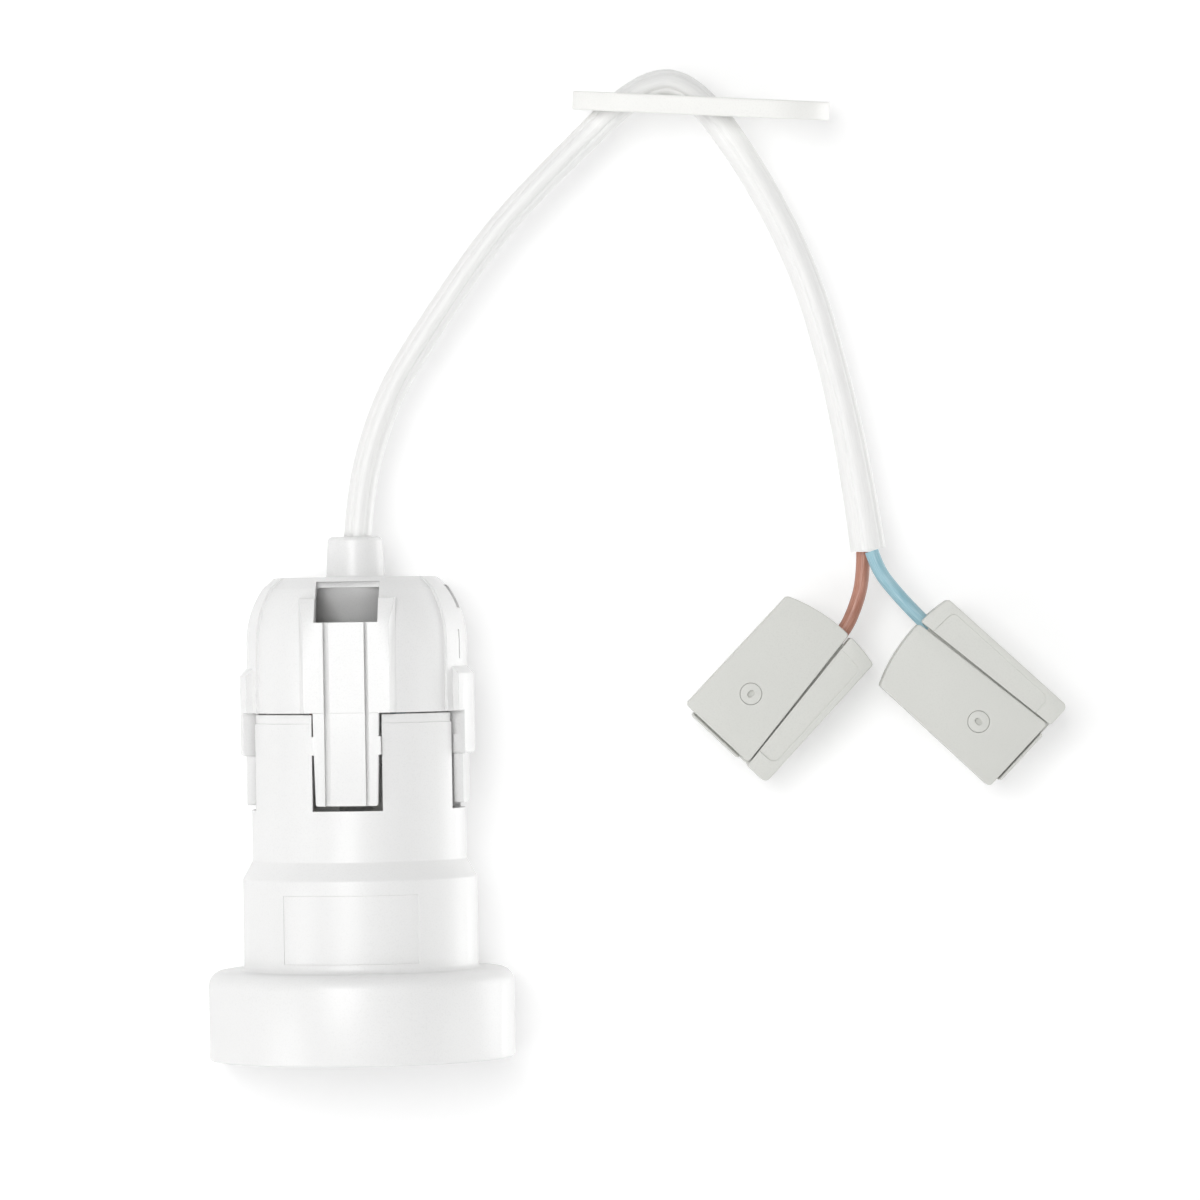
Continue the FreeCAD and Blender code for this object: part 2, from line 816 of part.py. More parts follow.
def make_contacts():
    """The terminal bars, the two contacts, the rivet and the clamp springs."""
    wall = S.tower_outer - S.tower_wall
    face = wall - S.strip_thickness
    floor = S.seat_height + S.carrier_thickness + S.tower_floor
    top = S.seat_height + S.carrier_thickness + S.tower_height - S.bar_top_gap
    live = strip_body(
        "live_terminal_bar",
        [
            (-wall, floor),
            (-S.leaf_root_end, floor),
            (-S.leaf_root_end, floor + S.strip_thickness),
            (-face, floor + S.strip_thickness),
            (-face, top),
            (-wall, top),
        ],
        S.strip_width,
    )
    hole = S.rivet_radius + S.rivet_play
    cylinder(live, "Subtractive", "LiveBarHole", hole, 4, (-S.rivet_offset, 0, floor - 1))
    spin_holder(keep(live, "live_terminal_bar"))
    slant = 0.2
    knee = S.seat_height - S.side_contact_knee_drop
    heel = S.seat_height - S.side_contact_heel_drop
    foot = S.seat_height - S.side_contact_foot_drop
    side = strip_body(
        "side_contact",
        [
            (face, top),
            (wall, top),
            (wall, S.seat_height - 0.6),
            (S.side_contact_face, knee),
            (S.side_contact_face, heel),
            (S.side_contact_tip, foot),
            (S.side_contact_tip - S.strip_thickness, foot + slant),
            (S.side_contact_face - S.strip_thickness, heel + slant / 2),
            (S.side_contact_face - S.strip_thickness, knee - slant),
            (face, S.seat_height - 0.6 - slant),
        ],
        S.strip_width,
    )
    spin_holder(keep(side, "side_contact"))
    leaf_top = S.seat_height - S.leaf_clearance
    leaf_foot = leaf_top - S.strip_thickness
    leaf = strip_body(
        "centre_contact",
        [
            (-S.leaf_root_start, leaf_top),
            (-S.leaf_root_end, leaf_top),
            (-0.6, leaf_top - S.leaf_drop),
            (2.6, leaf_top - S.leaf_drop),
            (4.4, leaf_top - S.leaf_drop + 0.8),
            (4.6, leaf_foot - S.leaf_drop + 0.8),
            (2.7, leaf_foot - S.leaf_drop),
            (-0.75, leaf_foot - S.leaf_drop),
            (-S.leaf_root_end - 0.15, leaf_foot),
            (-S.leaf_root_start, leaf_foot),
        ],
        S.leaf_width,
    )
    clearance = S.rivet_radius + S.leaf_clearance
    cylinder(leaf, "Subtractive", "LeafHole", clearance, 4, (-S.rivet_offset, 0, leaf_foot - 1))
    spin_holder(keep(leaf, "centre_contact"))
    rivet = new_body("contact_rivet")
    head_foot = leaf_foot - S.leaf_clearance - S.rivet_head
    head_top = floor + S.strip_thickness + S.rivet_head
    at = -S.rivet_offset
    cylinder(rivet, "Additive", "Shank", S.rivet_radius, head_top - head_foot, (at, 0, head_foot))
    cylinder(rivet, "Additive", "LowerHead", S.rivet_head_radius, S.rivet_head, (at, 0, head_foot))
    cylinder(
        rivet,
        "Additive",
        "UpperHead",
        S.rivet_head_radius,
        S.rivet_head,
        (at, 0, head_top - S.rivet_head),
    )
    spin_holder(keep(rivet, "contact_rivet"))
    inner = S.tower_inner + S.tower_wall
    thin = S.spring_thickness
    for name, way in (("live_clamp_spring", -1), ("neutral_clamp_spring", 1)):
        spring = strip_body(
            name,
            [
                (way * inner, floor + 0.8),
                (way * inner, top + 0.2),
                (way * (inner + 0.7), top + 0.2),
                (way * S.spring_nose, top - 2.8),
                (way * (S.spring_nose - 0.25), top - 3.1),
                (way * (inner + 0.55), top + 0.2 - thin),
                (way * (inner + thin), top + 0.2 - thin),
                (way * (inner + thin), floor + 0.8),
            ],
            S.spring_width,
        )
        spin_holder(keep(spring, name))


# The flex, its cores and its grip


def route_wire(name, points):
    """Straight runs with an arc in each corner, which takes 0.45 of the shorter run beside it."""
    points = [Vector(*p) for p in points]
    edges = []
    radii = []
    length = 0.0
    reached = points[0]
    for before, corner, after in zip(points, points[1:], points[2:]):
        back, ahead = before - corner, after - corner
        cut = 0.45 * min(back.Length, ahead.Length)
        half_turn = (math.pi - back.getAngle(ahead)) / 2
        radius = cut / math.tan(half_turn)
        radii.append(radius)
        start = corner + back.normalize() * cut
        end = corner + ahead.normalize() * cut
        centre_way = (back + ahead).normalize()
        middle = corner + centre_way * (radius / math.cos(half_turn) - radius)
        edges.append(Part.LineSegment(reached, start).toShape())
        edges.append(Part.Arc(start, middle, end).toShape())
        reached = end
    edges.append(Part.LineSegment(reached, points[-1]).toShape())
    length = sum(edge.Length for edge in edges)
    spine = document.addObject("Part::Feature", f"{name}_route")
    spine.Shape = Part.Wire(edges)
    print(f"{name}: bend radii " + " ".join(f"{r:.1f}" for r in radii) + f", length {length:.1f}")
    return spine, length


def tube(label, points, radius):
    """A round tube along a route."""
    spine, length = route_wire(label, points)
    section = document.addObject("Part::Circle", f"{label}_section")
    first = Vector(*points[1]) - Vector(*points[0])
    section.Placement = Placement(Vector(*points[0]), Rotation(Vector(0, 0, 1), first))
    bind(section, Radius=radius)
    made = document.addObject("Part::Sweep", label)
    made.Sections = [section]
    made.Spine = (spine, [f"Edge{i + 1}" for i in range(len(spine.Shape.Edges))])
    made.Solid = True
    made.Frenet = False
    document.recompute()
    expected = math.pi * float(radius) ** 2 * length
    print(f"{label}: volume {made.Shape.Volume:.1f}, section by length {expected:.1f}")
    return keep(made, label)


def make_flex():
    """The jacketed flex, its two cores at each end, and the cone that grips it in the cap."""
    tube("flex", [(x, 0, z) for x, z in FLEX_ROUTE], S.flex_radius)
    depth = float(S.core_depth)
    tube("core_brown", [(x, depth, z) for x, z in BROWN_ROUTE], S.core_radius)
    tube("core_blue", [(x, -depth, z) for x, z in BLUE_ROUTE], S.core_radius)
    turned_by = math.radians(-float(S.holder_turn))
    core_end = float(S.seat_height) + INNER_CORE_END_RISE
    climb = FLEX_ROUTE[0][1] - core_end
    for label, way in (("inner_core_brown", -1), ("inner_core_blue", 1)):
        points = [
            (way * x * math.cos(turned_by), way * x * math.sin(turned_by), core_end + share * climb)
            for x, share in INNER_CORE_ROUTE
        ]
        tube(label, points, S.core_radius)
    grip = new_body("cord_grip")
    roof = S.dome_top - S.dome_wall - 0.1
    taper = (S.hub_mouth - S.hub_throat) / (roof - S.hub_foot)
    foot_radius = S.hub_throat + taper * (roof - S.grip_foot) - S.grip_clearance
    bore = S.flex_radius + S.grip_clearance
    section = outline(
        grip,
        "GripSection",
        "XZ_Plane",
        [
            (bore, S.grip_foot),
            (foot_radius, S.grip_foot),
            (S.hub_throat - S.grip_clearance, roof),
            (bore, roof),
        ],
    )
    turned(grip, "Revolution", "Cone", section)
    box(
        grip,
        "Subtractive",
        "Slit",
        (0, -S.grip_slit / 2, S.grip_foot - 1),
        (S.hub_mouth + 1, S.grip_slit / 2, roof + 1),
    )
    spin_holder(keep(grip, "cord_grip"))


# The hanger plate


def obround(body, name, middle, length, width):
    """A sketch of a slot with round ends in the plate's plane, X along it."""
    straight = length / 2 - width / 2
    half = width / 2
    return outline(
        body,
        name,
        "XY_Plane",
        [
            (middle - straight, -half),
            (middle + straight, -half),
            (middle + straight, half),
            (middle - straight, half),
        ],
        {1: -half, 3: -half},
    )


def make_plate():
    """The flat plate that the flex is threaded through, with a hole for the ceiling hook."""
    body = new_body("hanger_plate")
    prism(body, "Pad", "Plate", obround(body, "PlateOutline", size(0), S.plate_length, S.plate_width), S.plate_thickness)
    for name, at, length in (
        ("LeftSlot", S.left_slot_at, S.left_slot_length),
        ("RightSlot", S.right_slot_at, S.right_slot_length),
    ):
        slot = obround(body, f"{name}Outline", at, length, S.flex_slot_width)
        prism(body, "Pocket", name, slot, S.plate_thickness + 2)
    foot = -(S.plate_thickness / 2 + 1)
    cylinder(
        body, "Subtractive", "HookHole", S.hook_hole_radius, S.plate_thickness + 2, (S.hook_hole_at, 0, foot)
    )
    body.Placement = Placement(Vector(0, 0, 0), Rotation(0, PLATE_SLOPE, PLATE_TIP))
    move(body, S.plate_centre_x, 0, S.plate_centre_z)
    return keep(body, "hanger_plate")


# The lighting connectors


def make_connector(colour, x, depth, z, angle):
    """One connector: its housing, the hood that is pressed to open the clamp, the clamp spring and the current bar."""

    def place(body, name):
        body.Placement = Placement(Vector(0, 0, 0), Rotation(Vector(0, 1, 0), float(angle)))
        bind(body, **{"Placement.Rotation.Angle": angle})
        move(body, x, depth, z)
        return keep(body, f"{colour}_{name}")

    pivot = (S.pivot_at, -S.connector_thickness / 2 - 1, -S.pivot_height)
    across = S.connector_thickness + 2
    housing = new_body(f"{colour}_connector_housing")
    strip = outline(
        housing,
        f"{colour}StripOutline",
        "XZ_Plane",
        [
            (0, 0),
            (S.connector_length, S.strip_far_rise),
            (S.connector_length, -S.strip_far_height),
            (-S.entry_bulge, -S.strip_entry_height),
        ],
        {3: S.entry_curve},
    )
    prism(housing, "Pad", f"{colour}Strip", strip, S.connector_thickness)
    block = outline(
        housing,
        f"{colour}BlockOutline",
        "XZ_Plane",
        [
            (S.block_start, -S.strip_far_height + 1),
            (S.hood_end, -S.strip_far_height + 1),
            (S.hood_end, -S.block_lip),
            (S.block_end, -S.block_lip),
            (S.block_end, -S.block_roof),
            (S.hood_setback + 0.6, -S.block_roof),
        ],
    )
    prism(housing, "Pad", f"{colour}Block", block, S.block_thickness)
    plate_half = S.connector_thickness / 2 - S.end_plate_inset
    box(
        housing,
        "Additive",
        f"{colour}EndPlate",
        (S.block_end - S.end_plate, -plate_half, -S.block_roof),
        (S.block_end, plate_half, -S.block_lip),
    )
    cylinder(
        housing,
        "Additive",
        f"{colour}Trunnion",
        S.pivot_radius,
        S.connector_thickness,
        (S.pivot_at, -S.connector_thickness / 2, -S.pivot_height),
        (0, 1, 0),
    )
    box(
        housing,
        "Subtractive",
        f"{colour}Chamber",
        (S.chamber_entry, -S.chamber_half, -S.connector_height),
        (S.chamber_far, S.chamber_half, -S.chamber_floor),
    )
    cylinder(housing, "Subtractive", f"{colour}TestHole", S.test_hole_radius, across, pivot, (0, 1, 0))
    hole_foot = -(S.core_hole_foot - S.core_hole_half)
    hole_top = -(S.core_hole_top + S.core_hole_half)
    deep = S.chamber_entry + 2.5
    for name, height in (("Lower", hole_foot), ("Upper", hole_top)):
        cylinder(
            housing,
            "Subtractive",
            f"{colour}CoreHole{name}",
            S.core_hole_half,
            deep,
            (-2, 0, height),
            (1, 0, 0),
        )
    box(
        housing,
        "Subtractive",
        f"{colour}CoreHoleMiddle",
        (-2, -S.core_hole_half, hole_foot),
        (deep - 2, S.core_hole_half, hole_top),
    )
    for name, height in (("Upper", S.push_in_upper), ("Lower", S.push_in_lower)):
        cylinder(
            housing,
            "Subtractive",
            f"{colour}PushIn{name}",
            S.push_in_radius,
            S.block_end - S.chamber_far + 2,
            (S.chamber_far - 1, 0, -height),
            (1, 0, 0),
        )
    box(
        housing,
        "Subtractive",
        f"{colour}LabelPanel",
        (S.label_panel_start, -S.connector_thickness / 2 - 1, -S.strip_entry_height - 1),
        (S.label_panel_end, -S.connector_thickness / 2 + S.label_depth, -S.label_panel_edge),
    )
    place(housing, "connector_housing")

    hood = new_body(f"{colour}_connector_hood")
    shape = outline(
        hood,
        f"{colour}HoodOutline",
        "XZ_Plane",
        [
            (-S.entry_bulge, -(S.strip_entry_height + S.hood_gap)),
            (S.hood_end, -(S.strip_far_height + S.hood_far_gap)),
            (S.hood_end, -S.connector_height),
            (S.hood_setback, -S.connector_height),
        ],
        {3: S.entry_curve},
    )
    prism(hood, "Pad", f"{colour}HoodBlock", shape, S.connector_thickness)
    box(
        hood,
        "Subtractive",
        f"{colour}HoodInside",
        (-3, -(S.connector_thickness / 2 - S.hood_wall), -(S.connector_height - S.hood_wall)),
        (S.connector_length + 1, S.connector_thickness / 2 - S.hood_wall, 0),
    )
    cylinder(hood, "Subtractive", f"{colour}PivotHole", S.pivot_hole_radius, across, pivot, (0, 1, 0))

    def corner(edge):
        ends = [vertex.Point for vertex in edge.Vertexes]
        if len(ends) != 2 or abs(abs(ends[0].y - ends[1].y) - float(S.connector_thickness)) > 0.01:
            return False
        return abs(ends[0].z + float(S.connector_height)) < 0.01

    dressed(hood, "Fillet", f"{colour}HoodCorners", S.hood_corner, corner, "Radius")
    place(hood, "connector_hood")

    roof = -(S.block_roof - 0.3)
    thin = S.clamp_thickness
    bar_top = -(S.chamber_floor + S.current_bar_thickness)
    spring = strip_body(
        f"{colour}_clamp_spring",
        [
            (S.chamber_entry + 1, roof),
            (S.chamber_far - 0.9, roof),
            (S.chamber_far - 0.9, roof + 0.9),
            (S.chamber_entry + 2.7, bar_top - 0.1),
            (S.chamber_entry + 2.4, bar_top - 0.55),
            (S.chamber_far - 1.4, roof + 0.6),
            (S.chamber_far - 1.4, roof + thin),
            (S.chamber_entry + 1, roof + thin),
        ],
        2 * S.chamber_half - 0.4,
    )
    place(spring, "clamp_spring")
    bar = new_body(f"{colour}_current_bar")
    box(
        bar,
        "Additive",
        f"{colour}Bar",
        (S.chamber_entry, -(S.chamber_half - 0.1), bar_top),
        (S.chamber_far, S.chamber_half - 0.1, -S.chamber_floor),
    )
    place(bar, "current_bar")


make_shell()
make_cap()
make_carrier()
make_contacts()
make_flex()
make_plate()
make_connector(
    "brown", S.left_connector_x, S.core_depth, S.left_connector_z, S.left_connector_turn
)
make_connector(
    "blue", S.right_connector_x, -S.core_depth, S.right_connector_z, S.right_connector_turn
)

# Checks and files


def check_and_write():
    """Stops on anything that failed to build, then writes one file for each sub-part."""
    document.recompute()
    for thing in document.Objects:
        if {"Invalid", "Error"} & set(thing.State):
            sys.exit(f"{thing.Label} did not build: {thing.State}")
    for node in nodes:
        if node.Shape.isNull() or not node.Shape.isValid():
            sys.exit(f"{node.Label} has no valid shape")
        if not node.Shape.Solids:
            sys.exit(f"{node.Label} has no solid")
    os.makedirs("parts", exist_ok=True)
    for node in nodes:
        node.Shape.exportStep(f"parts/{node.Label}.step")
        bounds = node.Shape.BoundBox
        print(
            f"{node.Label}: {len(node.Shape.Solids)} solid, {node.Shape.Volume:.1f} mm3, "
            f"x {bounds.XMin:.2f}..{bounds.XMax:.2f} y {bounds.YMin:.2f}..{bounds.YMax:.2f} "
            f"z {bounds.ZMin:.2f}..{bounds.ZMax:.2f}"
        )


check_and_write()
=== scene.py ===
"""Looks of a lamp holder with its flex, hanger plate and two lighting connectors.

Metres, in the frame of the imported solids: +Z up the lamp axis, origin in the collar's mouth, and
the front along -Y. Sizes are written in millimetres and multiplied by MM.
"""

import json
import math

import bpy
import numpy as np
from mathutils import Matrix, Vector


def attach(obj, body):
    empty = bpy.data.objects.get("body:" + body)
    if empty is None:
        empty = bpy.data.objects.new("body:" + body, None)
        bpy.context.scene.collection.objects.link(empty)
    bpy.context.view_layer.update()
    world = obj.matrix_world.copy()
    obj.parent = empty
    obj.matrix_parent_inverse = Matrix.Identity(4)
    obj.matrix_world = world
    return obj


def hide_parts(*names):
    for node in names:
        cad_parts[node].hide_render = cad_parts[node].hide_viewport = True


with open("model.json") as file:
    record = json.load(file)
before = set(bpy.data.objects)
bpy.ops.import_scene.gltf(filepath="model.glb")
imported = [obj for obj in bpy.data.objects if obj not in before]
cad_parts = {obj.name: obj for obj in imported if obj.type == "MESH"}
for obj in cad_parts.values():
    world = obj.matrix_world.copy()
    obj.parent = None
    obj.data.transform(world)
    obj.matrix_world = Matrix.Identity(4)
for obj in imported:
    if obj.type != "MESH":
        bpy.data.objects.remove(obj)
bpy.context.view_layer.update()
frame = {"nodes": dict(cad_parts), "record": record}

MM = 0.001
ROOT = "holder_and_flex"

# Camera and picture: the picture is square, and its middle is at VIEW_CENTRE in the plane Y = 0
PICTURE_PIXELS = 1200
PIXEL_SIZE = 0.154 * MM
VIEW_CENTRE = Vector((37.6, 0, 69.9)) * MM
VIEW_DISTANCE = 1.078
CAMERA_ROLL = math.radians(0.87)
SENSOR_WIDTH = 36

# The holder
HOLDER_TURN = math.radians(-3.6)
COLLAR_RADIUS = 23.5 * MM
COLLAR_HEIGHT = 13.8 * MM
WALL = 1.8 * MM
SKIRT_RADIUS = 18.0 * MM
SKIRT_TOP = 27.8 * MM
CONE_TOP = 30.6 * MM
BODY_RADIUS = 16.45 * MM
BODY_WALL = 1.65 * MM
BODY_TOP = 53.1 * MM
THREAD_RADIUS = 13.35 * MM
THREAD_PITCH = 3.629 * MM
THREAD_FOOT, THREAD_TOP = 3.0 * MM, 20.0 * MM
THREAD_DEPTH = 1.15 * MM
# How far the ridges' root lies inside the sleeve's wall
THREAD_ROOT = 0.3 * MM
SLEEVE_FOOT = 1.2 * MM
SEAT_HEIGHT = 31.5 * MM
SLOT_FOOT = 38.4 * MM
FRONT_SLOT_HALF = 5.36 * MM
SIDE_SLOT_HALF = 6.5 * MM
LABEL_FOOT, LABEL_TOP = 15.2 * MM, 25.6 * MM
LABEL_HALF_ANGLE = math.radians(35)
LABEL_DEPTH = 0.15 * MM

# The cap's tongues and the slots they clip into are turned a little against the panels
CLIP_TURN = math.radians(-0.7)
# How far out the cone of the hub ring reaches at its top, in millimetres
HUB_FLARE = 10.2

# The hanger plate
PLATE_CENTRE = Vector((54.3, 0, 145.77)) * MM
PLATE_SLOPE = math.radians(3.39)
PLATE_TIP = math.radians(4.07)
PLATE_LENGTH, PLATE_WIDTH, PLATE_THICKNESS = 39.6 * MM, 18 * MM, 2.9 * MM

# The flex: two cores under one oval jacket. The half widths that the picture shows, in
# millimetres, and the angles of its grooves are given at shares of its length
FLEX_NARROW = 4.15 * MM
FLEX_WIDE = 5.5 * MM
FLEX_HALF_WIDTHS = (
    [0, 0.25, 0.42, 0.5, 0.62, 0.85, 0.95, 1],
    [2.1, 2.08, 2.0, 2.15, 2.25, 2.25, 2.55, 2.7],
)
GROOVE_SHARES = (0, 0.4, 0.62, 1)
GROOVE_ANGLES = ((-53, -53, -67, -67), (-123, -123, -141, -141))
# A groove's depth as a share of the jacket's radius, and its reach to either side in radians
GROOVE_DEPTH, GROOVE_REACH = 0.09, 0.13
FLEX_ROUTE = [
    (0.0, 67.0),
    (0.0, 84.0),
    (4.6, 100.6),
    (11.6, 111.8),
    (22.2, 127.0),
    (33.8, 138.7),
    (45.4, 149.4),
    (52.65, 149.15),
    (61.75, 136.6),
    (69.9, 120.4),
    (74.6, 103.3),
    (77.6, 87.5),
    (79.0, 77.0),
]
CORE_RADIUS = 1.075 * MM
CORE_DEPTH = 0.95 * MM
BROWN_ROUTE = [(78.25, 76.7), (78.2, 72.6), (77.0, 68.3), (75.15, 64.4), (72.72, 61.87)]
BLUE_ROUTE = [(79.5, 76.8), (80.4, 73.9), (83.0, 70.5), (86.6, 66.5), (89.14, 64.09)]


# Shader helpers

# The Mix node's sockets for two colours and their mixture
MIX_FIRST, MIX_SECOND, MIX_RESULT = 6, 7, 2


class Value:
    """One output of a node, with the operators that make Math nodes."""

    def __init__(self, finish, socket):
        self.finish = finish
        self.socket = socket

    def maths(self, operation, first, second):
        node = self.finish.add("ShaderNodeMath", {"operation": operation}, {0: first, 1: second})
        return Value(self.finish, node.outputs[0])

    def __add__(self, other):
        return self.maths("ADD", self, other)

    def __radd__(self, other):
        return self.maths("ADD", other, self)

    def __sub__(self, other):
        return self.maths("SUBTRACT", self, other)

    def __rsub__(self, other):
        return self.maths("SUBTRACT", other, self)

    def __mul__(self, other):
        return self.maths("MULTIPLY", self, other)

    def __rmul__(self, other):
        return self.maths("MULTIPLY", other, self)


class Finish:
    """A material being made. add() makes every node but the Math nodes of Value."""

    def __init__(self, name):
        self.material = bpy.data.materials.new(name)
        self.material.use_nodes = True
        self.tree = self.material.node_tree
        self.tree.nodes.clear()

    def add(self, kind, settings=None, inputs=None):
        node = self.tree.nodes.new(kind)
        for name, value in (settings or {}).items():
            setattr(node, name, value)
        for name, value in (inputs or {}).items():
            if isinstance(value, Value):
                self.tree.links.new(value.socket, node.inputs[name])
            else:
                node.inputs[name].default_value = value
        return node

    def value(self, kind, output, settings=None, inputs=None):
        return Value(self, self.add(kind, settings, inputs).outputs[output])

    def place(self):
        return self.value("ShaderNodeTexCoord", "Object")

    def noise(self, scale, detail=3.0):
        return self.value(
            "ShaderNodeTexNoise",
            0,
            {},
            {"Vector": self.place(), "Scale": scale, "Detail": detail},
        )

    def mix(self, factor, first, second):
        node = self.add("ShaderNodeMix", {"data_type": "RGBA"}, {0: factor})
        for index, colour in ((MIX_FIRST, first), (MIX_SECOND, second)):
            if isinstance(colour, Value):
                self.tree.links.new(colour.socket, node.inputs[index])
            else:
                node.inputs[index].default_value = (*colour, 1)
        return Value(self, node.outputs[MIX_RESULT])

    def ramp(self, value, low, high):
        return self.value(
            "ShaderNodeMapRange",
            0,
            {"clamp": True},
            {"Value": value, "From Min": low, "From Max": high, "To Min": 0.0, "To Max": 1.0},
        )

    def out(self, shader):
        self.add("ShaderNodeOutputMaterial", {}, {"Surface": shader})
        return self.material


# Sizes of the patterns: scales are of noise on coordinates in metres, and those of the streaks and
# the rolling marks are stretched along the piece
CLOUD_SCALE, SPECKLE_SCALE, SPECKLE_SHADE = 55.0, 4200.0, 0.955
GRAIN_SCALE, SLEEVE_GRAIN_SCALE, GRAIN_DEPTH = 5200.0, 2600.0, 0.02 * MM
GLOSS_SCALE, SLEEVE_GLOSS_SCALE = 300.0, 400.0
STREAK_SCALES = (6.0, 90.0, 1.0)
ROLLING_SCALES, ROLLING_DEPTH = (400.0, 4000.0, 400.0), 0.01 * MM
PATCH_SCALE, PATCH_SHADE = 350.0, 0.82
PLASTIC_IOR, COAT_ROUGHNESS = 1.48, 0.25
STREAK_LENGTH = 20 * MM


def shaded(colour, share):
    """A share of a colour."""
    return tuple(channel * share for channel in colour)


def moulded(name, colour, roughness, edge=0.16 * MM, coat=0.0, mottle=0.02):
    """Injection-moulded plastic: a faint unevenness of colour and gloss, fine darker speckles, a
    spark-eroded grain, and edges that are rounded as the mould leaves them."""
    finish = Finish(name)
    cloud = finish.noise(CLOUD_SCALE, 3.0)
    fine = finish.noise(GRAIN_SCALE, 2.0)
    speckles = finish.noise(SPECKLE_SCALE, 1.0)
    tint = finish.mix(finish.ramp(cloud, 0.35, 0.65), shaded(colour, 1 - mottle), colour)
    tint = finish.mix(finish.ramp(speckles, 0.5, 0.72), tint, shaded(colour, SPECKLE_SHADE))
    rounded = finish.value("ShaderNodeBevel", 0, {"samples": 8}, {"Radius": edge})
    bump = finish.value(
        "ShaderNodeBump",
        0,
        {},
        {"Strength": 0.25, "Distance": GRAIN_DEPTH, "Height": fine, "Normal": rounded},
    )
    shader = finish.value(
        "ShaderNodeBsdfPrincipled",
        0,
        {},
        {
            "Base Color": tint,
            "Roughness": roughness - 0.04 + finish.noise(GLOSS_SCALE) * 0.08,
            "IOR": PLASTIC_IOR,
            "Coat Weight": coat,
            "Coat Roughness": COAT_ROUGHNESS,
            "Normal": bump,
        },
    )
    return finish.out(shader)


def extruded(name, colour, streak, roughness):
    """A soft PVC sleeve drawn over wire: smooth, with long faint streaks of another shade."""
    finish = Finish(name)
    along = finish.value("ShaderNodeUVMap", 0)
    stretched = finish.value(
        "ShaderNodeMapping",
        0,
        {"vector_type": "POINT"},
        {"Vector": along, "Scale": STREAK_SCALES},
    )
    streaks = finish.value(
        "ShaderNodeTexNoise", 0, {}, {"Vector": stretched, "Scale": 1.0, "Detail": 3.0}
    )
    fine = finish.noise(SLEEVE_GRAIN_SCALE, 2.0)
    tint = finish.mix(finish.ramp(streaks, 0.42, 0.7), colour, streak)
    bump = finish.value(
        "ShaderNodeBump", 0, {}, {"Strength": 0.2, "Distance": GRAIN_DEPTH, "Height": fine}
    )
    shader = finish.value(
        "ShaderNodeBsdfPrincipled",
        0,
        {},
        {
            "Base Color": tint,
            "Roughness": roughness + finish.noise(SLEEVE_GLOSS_SCALE) * 0.06,
            "Normal": bump,
        },
    )
    return finish.out(shader)


def sheet_metal(name, colour, roughness):
    """Stamped strip: bright, with rolling marks along it and slightly duller patches."""
    finish = Finish(name)
    stretched = finish.value(
        "ShaderNodeMapping",
        0,
        {"vector_type": "POINT"},
        {"Vector": finish.place(), "Scale": ROLLING_SCALES},
    )
    marks = finish.value("ShaderNodeTexNoise", 0, {}, {"Vector": stretched, "Scale": 1.0})
    patches = finish.noise(PATCH_SCALE, 4.0)
    tint = finish.mix(finish.ramp(patches, 0.4, 0.7), colour, shaded(colour, PATCH_SHADE))
    bump = finish.value(
        "ShaderNodeBump", 0, {}, {"Strength": 0.25, "Distance": ROLLING_DEPTH, "Height": marks}
    )
    shader = finish.value(
        "ShaderNodeBsdfPrincipled",
        0,
        {},
        {
            "Base Color": tint,
            "Metallic": 1.0,
            "Roughness": roughness + patches * 0.15,
            "Normal": bump,
        },
    )
    return finish.out(shader)


WHITE_PLASTIC = moulded("white_holder_plastic", (0.86, 0.86, 0.855), 0.42, coat=0.5)
CARRIER_PLASTIC = moulded("contact_carrier_plastic", (0.72, 0.72, 0.70), 0.5)
CREAM_PLASTIC = moulded("hanger_plate_plastic", (0.92, 0.92, 0.895), 0.45, edge=0.3 * MM)
GREY_PLASTIC = moulded("connector_plastic", (0.66, 0.665, 0.63), 0.5, edge=0.2 * MM, mottle=0.03)
WHITE_PVC = extruded("flex_jacket", (0.88, 0.88, 0.87), (0.83, 0.83, 0.82), 0.34)
BROWN_PVC = extruded("brown_core_sleeve", (0.41, 0.18, 0.125), (0.62, 0.33, 0.25), 0.35)
BLUE_PVC = extruded("blue_core_sleeve", (0.27, 0.49, 0.57), (0.45, 0.64, 0.71), 0.35)
BRASS = sheet_metal("contact_brass", (0.80, 0.62, 0.30), 0.25)
SPRING_STEEL = sheet_metal("clamp_spring_steel", (0.62, 0.62, 0.60), 0.25)

SLOT_FINISH = {
    "white_plastic": WHITE_PLASTIC,
    "carrier_plastic": CARRIER_PLASTIC,
    "white_pvc": WHITE_PVC,
    "cream_plastic": CREAM_PLASTIC,
    "grey_plastic": GREY_PLASTIC,
    "brown_pvc": BROWN_PVC,
    "blue_pvc": BLUE_PVC,
    "brass": BRASS,
    "spring_steel": SPRING_STEEL,
}


# Shapes


# Edges sharper than this many degrees stay sharp
SMOOTH_ANGLE = 32


def quads(rows, columns, wrap_rows):
    """Four-sided faces of a grid whose point (i, j) is number i * columns + j, closed along its
    rows' points, and from its last row to its first where wrap_rows says so."""
    i = np.arange(rows if wrap_rows else rows - 1)
    i, j = np.meshgrid(i, np.arange(columns), indexing="ij")
    below, beside = (i + 1) % rows, (j + 1) % columns
    faces = np.stack(
        [i * columns + j, below * columns + j, below * columns + beside, i * columns + beside], -1
    )
    return faces.reshape(-1, 4)


def outward(points, face_sets):
    """Whether the faces point outwards: the enclosed volume, the sum of the tetrahedra from the
    origin, is positive."""
    volume = 0.0
    for faces in face_sets:
        corners = points[faces]
        for k in range(1, corners.shape[1] - 1):
            volume += np.einsum(
                "ni,ni->", corners[:, 0], np.cross(corners[:, k], corners[:, k + 1])
            )
    return volume > 0


